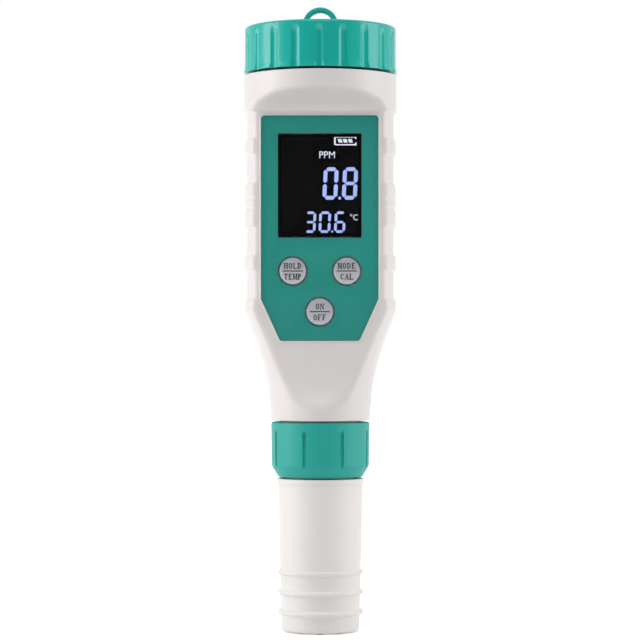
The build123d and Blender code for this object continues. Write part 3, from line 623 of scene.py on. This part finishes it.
def digit(sign, x, z, width, height, thick):
    """The lit bars of one leaning seven-bar digit, cut at 45 degrees where they meet."""
    gap, slant = 0.14, 0.05
    lit = {"0": "abcdef", "3": "abcdg", "6": "acdefg", "8": "abcdefg"}[sign]
    w, h, t = (width - thick) / 2, (height - thick) / 2, thick / 2
    nodes = {"a": (-w, h, w, h), "b": (w, h, w, 0), "c": (w, 0, w, -h), "d": (w, -h, -w, -h),
             "e": (-w, -h, -w, 0), "f": (-w, 0, -w, h), "g": (-w, 0, w, 0)}
    shapes = []
    for bar in lit:
        start, end = Vector(nodes[bar][:2]), Vector(nodes[bar][2:])
        along = (end - start).normalized()
        side = Vector((along.y, -along.x)) * t * (0.85 if bar == "g" else 1.0)
        tip, shoulder = along * gap, along * (gap + t * 0.9)
        bar_points = [start + tip, start + shoulder + side, end - shoulder + side, end - tip,
                      end - shoulder - side, start + shoulder - side]
        shapes.append([(x + spot.x + slant * spot.y, z + spot.y) for spot in bar_points])
    return shapes


def block(left, right, low, high):
    """A rectangle as an (x, height) outline, from its four edges."""
    return [(left, high), (left, low), (right, low), (right, high)]


def text_shape(name, words, place, height, width, depth, thick, material, body):
    """Plain generic lettering as thin solid shapes on a front face, fitted to a height and a width in mm."""
    curve = bpy.data.curves.new(name, "FONT")
    curve.body = words
    curve.fill_mode = "BOTH"
    curve.extrude = 0.5
    curve.resolution_u = 4
    piece = settle(placed(name, curve))
    xs = [vert.co.x for vert in piece.data.vertices]
    ys = [vert.co.y for vert in piece.data.vertices]
    wide, high = max(xs) - min(xs), max(ys) - min(ys)
    for vert in piece.data.vertices:
        x = ((vert.co.x - min(xs)) / wide - 0.5) * width + place[0]
        z = ((vert.co.y - min(ys)) / high - 0.5) * height + place[1]
        vert.co = (x * mm, (depth - vert.co.z * thick) * mm, z * mm)
    piece.name = name
    coat(piece, material)
    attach(piece, body)


def glowing(name, colour, strength):
    """A lit display segment, a little uneven as a backlight is."""
    finish = Finish(name, colour, 0.4, Emission_Strength=strength)
    dimmer = tuple(c * 0.86 for c in colour[:3]) + (1.0,)
    glow = finish.blend(finish.noise(420.0, 2.0), colour, dimmer)
    return finish.feed("Emission Color", glow).material


segment_blue = glowing("segment_blue", tint(160, 178, 238), 0.86)
segment_white = glowing("segment_white", tint(214, 216, 232), 0.9)
digits = (("0", 3.08, 0.68, 4.3, 9.5, 1.12), ("8", 8.7, 0.68, 4.35, 9.5, 1.12),
          ("3", -2.75, -10.65, 3.2, 6.3, 0.78), ("0", 1.43, -10.65, 3.4, 6.3, 0.78),
          ("6", 5.8, -10.65, 3.2, 6.3, 0.78))
bars = []
for sign, x, z, width, height, thick in digits:
    bars += digit(sign, x, z, width, height, thick)
bars += [ring_outline(5.72, -3.62, 0.42, 20), ring_outline(3.57, -13.42, 0.3, 16)]
reading = lit_shapes("display_reading", bars)
coat(reading, segment_blue)
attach(reading, "handset")

cell_sign = [[(4.1, 14.2), (4.1, 12.1), (4.6, 11.85), (4.6, 14.45)], block(4.5, 10.5, 14.1, 14.45),
             block(4.6, 10.5, 11.85, 12.2), block(10.2, 10.55, 13.7, 14.45), block(10.2, 10.55, 11.85, 12.7)]
cell_sign += [[(x, 12.65), (x - 0.35, 13.7), (x + 0.75, 13.7), (x + 1.1, 12.65)] for x in (5.45, 6.95, 8.45)]
battery_sign = lit_shapes("display_battery_sign", cell_sign)
coat(battery_sign, segment_white)
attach(battery_sign, "handset")
text_shape("display_unit", "PPM", (2.1, window_middle + 9.08), height=2.0, width=4.5, depth=lit_middle,
           thick=0.04, material=segment_white, body="handset")
text_shape("display_degree", "°C", (9.9, window_middle - 9.2), height=1.8, width=2.3, depth=lit_middle,
           thick=0.04, material=segment_white, body="handset")


# Keys: three round caps in silver lacquer with a slightly domed face. Each stands proud of the panel in
# a dark gap, and carries its two printed words with a rule between them.
silver = Finish("silver_key", tint(186, 188, 196), 0.42, Metallic=0.25)
fleck = silver.noise(5200.0, 2.0)
silver.vary_colour(fleck * 2.2 - 0.6, tint(180, 182, 190), tint(208, 210, 216))
silver.feed("Roughness", 0.34 + silver.noise(900.0, 3.0) * 0.16)
silver.grain(fleck, 0.3, 0.00002)
legend = Finish("key_legend", tint(20, 22, 28), 0.5)
legend.feed("Roughness", 0.45 + legend.noise(3000.0, 2.0) * 0.15)
words = {"left": ("HOLD", "TEMP"), "right": ("MODE", "CAL"), "power": ("ON", "OFF")}
heavy, fine, serif = 0.24, 0.13, 0.2
letter_high, letter_wide, letter_pitch, letter_gap = 1.72, 1.23, 1.33, 0.1
key_front, print_front, rule_front = -11.0, -11.01, -11.015


def stem(x, feet=(0, 1), wide=heavy):
    """An upright with a serif at its foot, its top or both, as corner lists in a unit square."""
    out = [[(x - wide / 2, 0.0), (x + wide / 2, 0.0), (x + wide / 2, 1.0), (x - wide / 2, 1.0)]]
    for end in feet:
        z = (0.0, 1.0 - fine)[end]
        out.append([(x - serif, z), (x + serif, z), (x + serif, z + fine), (x - serif, z + fine)])
    return out


def bar(x, end, z):
    """A fine level stroke."""
    return [[(x, z), (end, z), (end, z + fine), (x, z + fine)]]


def slope(x, z, end, top, wide):
    """A leaning stroke, measured level."""
    return [[(x - wide / 2, z), (x + wide / 2, z), (end + wide / 2, top), (end - wide / 2, top)]]


def round_stroke(x, z, wide, high, start, end):
    """A curved stroke, heavy at its sides and fine at its top and foot."""
    out = []
    steps = max(int((end - start) / 20), 1)
    inner_wide, inner_high = wide - heavy, high - fine
    for step in range(steps):
        a, b = [math.radians(start + (end - start) * part / steps) for part in (step, step + 1)]
        out.append([(x + wide * math.cos(a), z + high * math.sin(a)),
                    (x + wide * math.cos(b), z + high * math.sin(b)),
                    (x + inner_wide * math.cos(b), z + inner_high * math.sin(b)),
                    (x + inner_wide * math.cos(a), z + inner_high * math.sin(a))])
    return out


letters = {
    "H": stem(0.2) + stem(0.8) + bar(0.2, 0.8, 0.44),
    "O": round_stroke(0.5, 0.5, 0.42, 0.5, 0, 360),
    "L": stem(0.25) + bar(0.2, 0.85, 0.0) + slope(0.85, 0.0, 0.88, 0.25, 0.1),
    "D": stem(0.22) + round_stroke(0.35, 0.5, 0.52, 0.5, -90, 90) + bar(0.2, 0.36, 0.0)
    + bar(0.2, 0.36, 0.87),
    "T": stem(0.5, feet=(0,)) + bar(0.1, 0.9, 0.87) + slope(0.1, 0.72, 0.08, 1.0, 0.08)
    + slope(0.9, 0.72, 0.92, 1.0, 0.08),
    "E": stem(0.25) + bar(0.2, 0.84, 0.0) + bar(0.2, 0.66, 0.45) + bar(0.2, 0.82, 0.87)
    + slope(0.84, 0.0, 0.88, 0.24, 0.08) + slope(0.82, 0.76, 0.84, 1.0, 0.08),
    "M": stem(0.12, wide=fine) + stem(0.86, wide=0.2) + slope(0.5, 0.12, 0.16, 1.0, 0.2)
    + slope(0.5, 0.12, 0.84, 1.0, 0.1),
    "P": stem(0.25) + round_stroke(0.42, 0.73, 0.44, 0.27, -90, 90) + bar(0.2, 0.43, 0.46)
    + bar(0.2, 0.43, 0.87),
    "C": round_stroke(0.55, 0.5, 0.45, 0.5, 50, 310) + slope(0.88, 0.66, 0.9, 0.96, 0.08),
    "A": slope(0.14, 0.0, 0.48, 1.0, 0.1) + slope(0.84, 0.0, 0.52, 1.0, 0.22) + bar(0.24, 0.76, 0.3)
    + bar(0.0, 0.3, 0.0) + bar(0.66, 1.0, 0.0),
    "N": stem(0.18, wide=fine) + stem(0.84, feet=(1,), wide=fine) + slope(0.82, 0.0, 0.2, 1.0, 0.22),
    "F": stem(0.25) + bar(0.2, 0.66, 0.45) + bar(0.2, 0.84, 0.87) + slope(0.84, 0.74, 0.86, 1.0, 0.08),
}


def printed(name, word, x, z, depth, body):
    """A function word printed in narrow serif capitals on a key."""
    left = x - (len(word) * letter_pitch - letter_gap) / 2
    strokes = []
    for place, letter in enumerate(word):
        for corners in letters[letter]:
            strokes.append([(left + place * letter_pitch + a * letter_wide, z + (b - 0.5) * letter_high)
                            for a, b in corners])
    piece = laid_on(name, strokes, depth, depth + 0.12)
    coat(piece, legend.material)
    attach(piece, body)


key_face = [(0.0, key_front), (1.6, -10.985), (2.8, -10.96), (3.6, -10.91), (3.82, -10.82), (3.875, -10.68),
            (3.875, -8.92), (5.0, -8.92), (5.0, -8.12), (1.2, -8.12), (1.2, -7.1), (0.0, -7.1)]
key_outline = [(radius, -depth) for radius, depth in key_face]
for side, (x, z) in keys.items():
    key = turned(f"key_{side}_cap", key_outline, full_turn(96), closed=False)
    for vert in key.data.vertices:
        a, b, c = vert.co
        vert.co = (a + x * mm, -c, -b + z * mm)
    outward(key)
    smoothed(key, 40)
    coat(key, silver.material)
    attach(key, f"button_{side}")
    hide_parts(f"key_{side}")
    printed(f"key_{side}_word_top", words[side][0], x, z + 1.5, print_front, f"button_{side}")
    printed(f"key_{side}_word_low", words[side][1], x, z - 1.66, print_front, f"button_{side}")
    rule_outline = [(x - 2.95, z + 0.15), (x + 2.95, z + 0.15), (x + 2.95, z - 0.15), (x - 2.95, z - 0.15)]
    rule = prism(f"key_{side}_rule", rule_outline, rule_front, -10.93)
    coat(rule, legend.material)
    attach(rule, f"button_{side}")


# Top cap: a glossy teal screw cap. Twenty upright flutes give it its grip, and a half-round eye for a
# lanyard is moulded on its roof.
def flute_tree():
    """Geometry nodes: round flutes cut into a turned wall, run out at both ends."""
    sizes = ("Count", "Start angle", "Wall radius", "Flute radius", "Depth", "Low end", "High end", "Edge")
    tree, given = opened_tree("flutes", sizes, given_shape=True)
    shell, count, start, wall, ball, depth, low, high, edge, paint = given
    spot = tree.node("GeometryNodeInputPosition")
    x, y, z = [tree.node("ShaderNodeSeparateXYZ", {}, {"Vector": spot}, output=axis) for axis in "XYZ"]
    radius = (x * x + y * y) ** 0.5
    angle = x.math("ARCTAN2", y * -1.0)
    pitch = 2 * math.pi / count
    off = (angle - start).math("WRAP", pitch * 0.5, pitch * -0.5)
    past = (z - high).math("MAXIMUM", low - z).math("MAXIMUM", 0.0)
    ball_here = (ball * ball - past * past).math("MAXIMUM", 0.0)
    centre = wall + ball - depth
    across = centre * off.math("SINE")
    reach = (ball_here - across * across).math("MAXIMUM", 0.0) ** 0.5
    clear = (across * across + past * past - ball * ball).math("MAXIMUM", 0.0) ** 0.5
    floor = centre * off.math("COSINE") - reach + clear * 3.0
    new_radius = radius.math("SMOOTH_MIN", floor, edge)
    share = new_radius / radius
    moved = tree.node("ShaderNodeCombineXYZ", {}, {"X": x * share, "Y": y * share, "Z": z})
    shaped = tree.node("GeometryNodeSetPosition", {}, {"Geometry": shell, "Position": moved})
    return finished_tree(tree, shaped, paint)


def grooved_angles(count, start, spread):
    """Angles round a grooved wall, close together across each groove, with one halfway between grooves."""
    offsets = [-off for off in reversed(spread)] + [0.0, *spread, 180 / count]
    return [math.radians(start + 360 // count * step + off) for step in range(count) for off in offsets]


def fluted(name, outline, count, start, spread, material, **sizes):
    """A turned shell with so many flutes cut into its wall, its sizes in mm and its start in degrees."""
    shell = turned(f"{name}_shell", outline, grooved_angles(count, start, spread))
    mesh = shell.data
    bpy.data.objects.remove(shell)
    lengths = {title: size * mm for title, size in sizes.items()}
    return grown(f"{name}_wall", flutes, mesh, Count=float(count), Start_angle=math.radians(start),
                 Material=material, **lengths)


teal_gloss = moulded("teal_gloss", tint(26, 190, 177), tint(32, 183, 171), 0.2, grain=5200.0, depth=0.00002,
                     strength=0.05)
flutes = flute_tree()
cap_edge, cap_top = 0.9, 178.9
cap_outline = [(20.4, 165.3), (22.5, 165.3), (22.66, 165.36), (22.7, 165.55), (22.64, 165.9), (22.5, 166.5),
               (22.4, 167.0)]
cap_outline += [(21.5 + cap_edge * math.cos(a), 178.0 + cap_edge * math.sin(a)) for a in
                [math.pi / 2 * step / 8 for step in range(9)]]
cap_outline += [(12.0, cap_top), (0.0, cap_top), (0.0, 177.77), (0.92, 177.77), (0.92, 175.57), (2.5, 175.57),
                (2.5, 177.2), (19.7, 177.2), (19.7, 166.5), (20.4, 166.5)]
cap_spread = (0.6, 1.2, 1.8, 2.4, 2.8, 3.1, 3.4, 3.8, 4.3, 5.0, 6.0, 7.5)
cap_wall = fluted("cap", stepped(cap_outline, 0.9, closed=False), 20, 0, cap_spread, teal_gloss,
                  Wall_radius=22.4, Flute_radius=1.69, Depth=0.5, Low_end=160.0, High_end=175.91, Edge=0.35)
cap_thread = thread("cap_thread", 19.7, pitch=3.0, length=5.0, foot=170.1, ridge=0.75, material=teal_gloss)


def bow(name, path, half_wide, half_deep, corner):
    """A bar of rounded section swept along (x, height) points, its depth along Y."""
    section = corner_arcs([(half_wide, -half_deep), (half_wide, half_deep), (-half_wide, half_deep),
                           (-half_wide, -half_deep)], corner, 4)
    verts, faces = [], []
    for k, (x, z) in enumerate(path):
        before, after = Vector(path[max(k - 1, 0)]), Vector(path[min(k + 1, len(path) - 1)])
        along = (after - before).normalized()
        side = Vector((along.y, -along.x))
        for across, deep in section:
            verts.append(((x + side.x * across) * mm, deep * mm, (z + side.y * across) * mm))
    size = len(section)
    for k in range(len(path) - 1):
        for j in range(size):
            i = (j + 1) % size
            faces.append([k * size + j, k * size + i, (k + 1) * size + i, (k + 1) * size + j])
    faces += [list(range(size)), list(range(len(verts) - 1, len(verts) - size - 1, -1))]
    return from_faces(name, verts, faces)


arch = [(-4.5, 178.2), (-4.5, cap_top)]
arch += [(-4.5 * math.cos(a), 179.6 + 4.55 * math.sin(a)) for a in
         [math.pi * step / 40 for step in range(41)]]
arch += [(4.5, cap_top), (4.5, 178.2)]
loop = bow("lanyard_bow", arch, 0.8, 1.5, 0.6)
cap = joined("screw_cap_body", [cap_wall, cap_thread, loop])
outward(cap)
smoothed(cap, 50)
coat(cap, teal_gloss)
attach(cap, "screw_cap")
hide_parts("top_cap")


# Collar: the teal nut that draws the electrode up to the housing. Its foot tapers in, and eight narrow
# grooves are moulded round its wall for the fingers.
collar_outline = [(9.88, 45.8), (12.2, 45.8), (12.5, 45.95), (14.25, 48.8), (14.42, 49.4), (14.6, 61.6),
                  (14.42, 62.0), (14.15, 62.1), (12.5, 62.1), (12.5, 51.0), (11.6, 51.0), (11.6, 48.35),
                  (9.88, 48.35)]
teal_satin = moulded("teal_satin", tint(14, 176, 165), tint(20, 169, 158), 0.48, grain=5200.0, depth=0.00002,
                     strength=0.1)
collar_spread = (0.4, 0.8, 1.2, 1.6, 1.9, 2.2, 2.6, 3.2, 4.0, 6.0, 10.0, 16.0)
collar_wall = fluted("collar", stepped(eased(collar_outline, 0.25), 0.6), 8, 27, collar_spread, teal_satin,
                     Wall_radius=14.5, Flute_radius=0.52, Depth=0.6, Low_end=49.4, High_end=59.1, Edge=0.1)
collar_thread = thread("collar_thread", 12.5, pitch=2.5, length=5.35, foot=53.95, ridge=0.65,
                       material=teal_satin)
collar = joined("collar_ring", [collar_wall, collar_thread])
smoothed(collar, 50)
coat(collar, teal_satin)
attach(collar, "collar")
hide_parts("collar_nut")


# Probe cap: a white cap pushed over the electrode. Three round ribs near its base give a grip, its
# mouth has a small lip, and it holds a wet sponge.
white_cap = moulded("white_cap", tint(248, 244, 242), tint(243, 239, 236), 0.45)
rib_spot, rib_radius = 12.05, 0.65
wall = [(11.3, 0.45), (11.53, 1.35)]
for rib in (5.9, 11.8, 17.75):
    base = 11.5 + 1.2 * rib / 45.4
    wall += [(base - 0.02, rib - 1.25), (base + 0.06, rib - 0.8)]
    wall += [(rib_spot + rib_radius * math.cos(a), rib + rib_radius * math.sin(a)) for a in
             [math.radians(degrees) for degrees in (-62, -40, -20, 0, 20, 40, 62)]]
    wall += [(base + 0.08, rib + 0.8), (base + 0.02, rib + 1.25)]
wall += [(12.66, 43.6), (12.97, 44.1), (13.0, 45.2), (12.85, 45.4)]
foot = [(0.0, 0.15), (9.9, 0.15), (10.6, 0.18)]
bore = [(11.15, 45.4), (11.0, 45.25), (10.2, 2.1), (9.9, 1.8), (0.0, 1.8)]
probe_outline = stepped(eased(foot + wall + bore, 0.3, closed=False), 1.5, closed=False)
probe_cap = turned("probe_cap_body", probe_outline, full_turn(160), closed=False)
smoothed(probe_cap, 60)
coat(probe_cap, white_cap)
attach(probe_cap, "probe_cover")
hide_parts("probe_cap")


# Inner pieces: what the housing, the caps and the electrode hold. Their shapes come from the frame, and
# each gets the finish of what it is made of.
def dress(material, *nodes):
    """Gives a finish to pieces whose shape comes from the frame."""
    for node in nodes:
        coat(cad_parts[node], material)


def metal(name, colour, shade, roughness, stretch=(1.0, 1.0, 1.0)):
    """Bare or plated metal, drawn or rolled, with fine streaks along the piece."""
    finish = Finish(name, colour, roughness, Metallic=1.0)
    streak = finish.noise(2400.0, 4.0, stretch)
    finish.vary_colour(finish.noise(300.0, 3.0), colour, shade)
    finish.feed("Roughness", roughness - 0.06 + streak * 0.12)
    finish.grain(streak, 0.12, 0.00001)
    return finish.material


def rubber(name, colour, shade, roughness):
    """Soft rubber or foam, dull and slightly open."""
    finish = Finish(name, colour, roughness)
    pores = finish.noise(3600.0, 5.0)
    finish.vary_colour(pores, colour, shade)
    finish.feed("Roughness", roughness - 0.06 + finish.noise(700.0) * 0.12)
    finish.grain(pores, 0.35, 0.00004)
    return finish.material


dress(rubber("seal_rubber", tint(26, 26, 27), tint(38, 38, 39), 0.68), "cap_o_ring", "panel_tape",
      "window_gasket", "lcd_connector_strip", "electrode_o_ring", "cap_seal_ring")
dress(rubber("key_silicone", tint(140, 142, 145), tint(150, 152, 154), 0.6), "key_mat")
dress(rubber("pad_rubber", tint(104, 104, 102), tint(118, 118, 116), 0.75), "foot_pads")
dress(moulded("black_plastic", tint(22, 22, 23), tint(30, 30, 31), 0.45, grain=7000.0), "contact_disc",
      "battery_holder", "probe_socket", "pin_carrier", "plunger_left", "plunger_right", "plunger_power",
      "tact_switches", "board_chips")
dress(moulded("frame_white", tint(232, 232, 226), tint(224, 224, 218), 0.5, grain=7000.0), "display_frame",
      "lcd_backlight")
dress(moulded("electrode_grey", tint(216, 216, 210), tint(206, 206, 200), 0.38, grain=7000.0),
      "electrode_body")
dress(metal("steel", tint(190, 190, 192), tint(170, 171, 174), 0.28, (1.0, 1.0, 0.1)), "contact_screw",
      "display_screws", "board_screws", "temperature_probe", "conductivity_pins")
dress(metal("nickel_strip", tint(206, 202, 192), tint(188, 184, 174), 0.26), "bridge_contact",
      "battery_springs", "battery_terminals")
dress(metal("silver_wire", tint(196, 196, 196), tint(176, 174, 170), 0.3), "ph_inner_wire")
dress(metal("platinum", tint(214, 211, 206), tint(200, 197, 192), 0.2), "platinum_pin")
dress(metal("gilt_pins", tint(226, 182, 92), tint(210, 164, 76), 0.22), "connector_pins")

board = Finish("board_green", tint(22, 84, 48), 0.32, Coat_Weight=0.5)
weave = board.node("ShaderNodeTexBrick", {"offset": 0.5},
                   {"Vector": board.place, "Scale": 260.0, "Color1": tint(24, 92, 52),
                    "Color2": tint(18, 76, 44), "Mortar": tint(38, 112, 66), "Mortar Size": 0.05})
board.feed("Base Color", weave)
board.feed("Roughness", 0.26 + board.noise(800.0) * 0.12)
board.grain(board.noise(2600.0, 2.0), 0.15, 0.00002)
dress(board.material, "main_board")

jacket = Finish("cell_jacket", tint(46, 48, 54), 0.3, Metallic=0.35)
band = jacket.node("ShaderNodeSeparateXYZ", {}, {"Vector": jacket.place}, output="Z")
band_top = 0.138
jacket.vary_colour(band.math("LESS_THAN", band_top), tint(44, 46, 52), tint(168, 128, 62))
jacket.feed("Roughness", 0.24 + jacket.noise(400.0) * 0.14)
jacket.grain(jacket.noise(1800.0, 2.0), 0.08, 0.00002)
dress(jacket.material, "battery_left", "battery_right")

resin = Finish("resin_black", tint(16, 16, 17), 0.15, Coat_Weight=0.4)
resin.feed("Roughness", 0.1 + resin.noise(500.0, 4.0) * 0.12)
resin.grain(resin.noise(220.0, 3.0), 0.1, 0.00004)
dress(resin.material, "potting_resin")

blown = Finish("sensor_glass", (0.96, 0.98, 0.99, 1.0), 0.03, IOR=1.5, Transmission_Weight=1.0)
blown.feed("Roughness", 0.02 + blown.noise(300.0) * 0.04)
dress(blown.material, "ph_glass")

ceramic = Finish("white_ceramic", tint(238, 235, 228), 0.7)
ceramic.vary_colour(ceramic.noise(5200.0, 4.0), tint(242, 240, 234), tint(226, 222, 212))
ceramic.grain(ceramic.noise(9000.0, 3.0), 0.4, 0.00002)
dress(ceramic.material, "reference_junction")

foam = Finish("sponge", tint(222, 206, 120), 0.9)
cells = foam.node("ShaderNodeTexVoronoi", {"feature": "F1"}, {"Vector": foam.place, "Scale": 1500.0})
foam.vary_colour(cells, tint(206, 188, 100), tint(232, 218, 138))
foam.grain(cells, 0.8, 0.0002)
dress(foam.material, "soaking_sponge")


# Floor, light and camera: a plain white floor that fades into a white room, one tall soft light at each
# side and a small one above, and a camera level with the lower edge of the panel.
corners = [(-6.0, -6.0, 0.0), (6.0, -6.0, 0.0), (6.0, 6.0, 0.0), (-6.0, 6.0, 0.0)]
floor = from_faces("floor", corners, [[0, 1, 2, 3]])
paper = Finish("floor_paper", (0.86, 0.86, 0.86, 1.0), 0.9)
paper.vary_colour(paper.noise(9.0), (0.86, 0.86, 0.86, 1.0), (0.84, 0.84, 0.84, 1.0))
ray_kinds = ("Is Camera Ray", "Is Glossy Ray", "Is Transmission Ray")
seen, mirrored, through = [paper.node("ShaderNodeLightPath", output=kind) for kind in ray_kinds]
shown = seen.math("MAXIMUM", mirrored.math("MAXIMUM", through))
away = paper.node("ShaderNodeVectorMath", {"operation": "LENGTH"}, {0: paper.place}, output="Value")
far = paper.node("ShaderNodeMapRange", {"interpolation_type": "SMOOTHSTEP"},
                 {"Value": away, "From Min": 0.08, "From Max": 0.5, "To Min": 0.42, "To Max": 1.0})
bright = paper.node("ShaderNodeEmission", {}, {"Color": (1.0, 1.0, 1.0, 1.0), "Strength": shown * far})
both = paper.node("ShaderNodeAddShader", {}, {0: Term(paper.tree, paper.surface.outputs[0]), 1: bright})
paper.tree.links.new(both.socket, paper.tree.nodes["Material Output"].inputs["Surface"])
coat(floor, paper.material)

world = bpy.data.worlds.new("studio")
bpy.context.scene.world = world
world.use_nodes = True
sky = Tree(world.node_tree)
sky_seen, sky_glossy, sky_through = [sky.node("ShaderNodeLightPath", output=kind) for kind in ray_kinds]
way = sky.node("ShaderNodeTexCoord", output="Generated")
ahead = sky.node("ShaderNodeSeparateXYZ", {}, {"Vector": way}, output="Y")
side_glow = (ahead * 0.5 + 0.5) ** 0.8
level = sky_seen.math("MAXIMUM", sky_glossy.math("MAXIMUM", sky_through) * (side_glow ** 1.8 + 0.004))
level = level.math("MAXIMUM", (1.0 - sky_seen) * (1.0 - sky_glossy) * (side_glow * 0.45 + 0.2))
backdrop = sky.tree.nodes["Background"]
backdrop.inputs["Color"].default_value = (1.0, 1.0, 1.0, 1.0)
sky.tree.links.new(level.socket, backdrop.inputs["Strength"])


def soft_light(name, place, aim, wide, high, power):
    """A soft rectangular lamp that looks at a point."""
    lamp = bpy.data.lights.new(name, "AREA")
    lamp.shape = "RECTANGLE"
    lamp.size = wide
    lamp.size_y = high
    lamp.energy = power
    holder = placed(name, lamp)
    holder.location = place
    holder.rotation_euler = (Vector(aim) - Vector(place)).to_track_quat("-Z", "Y").to_euler()


soft_light("left_light", (-0.62, -0.12, 0.2), aim=(0.0, 0.0, 0.1), wide=0.35, high=0.7, power=2.7)
soft_light("right_light", (0.62, -0.08, 0.26), aim=(0.0, 0.0, 0.12), wide=0.35, high=0.6, power=1.65)
soft_light("top_light", (0.0, -0.35, 0.75), aim=(0.0, 0.0, 0.1), wide=0.5, high=0.4, power=1.2)

view = bpy.data.cameras.new("camera")
view.lens = 143.5
view.sensor_width = 36.0
view.shift_y = 0.0406
view.clip_start = 0.01
view.clip_end = 50.0
camera = placed("camera", view)
camera.location = (0.0131, -0.7569, 0.08457)
camera.rotation_euler = (math.radians(90), 0.0, math.radians(1))
bpy.context.scene.camera = camera
bpy.context.scene.view_settings.view_transform = "Standard"
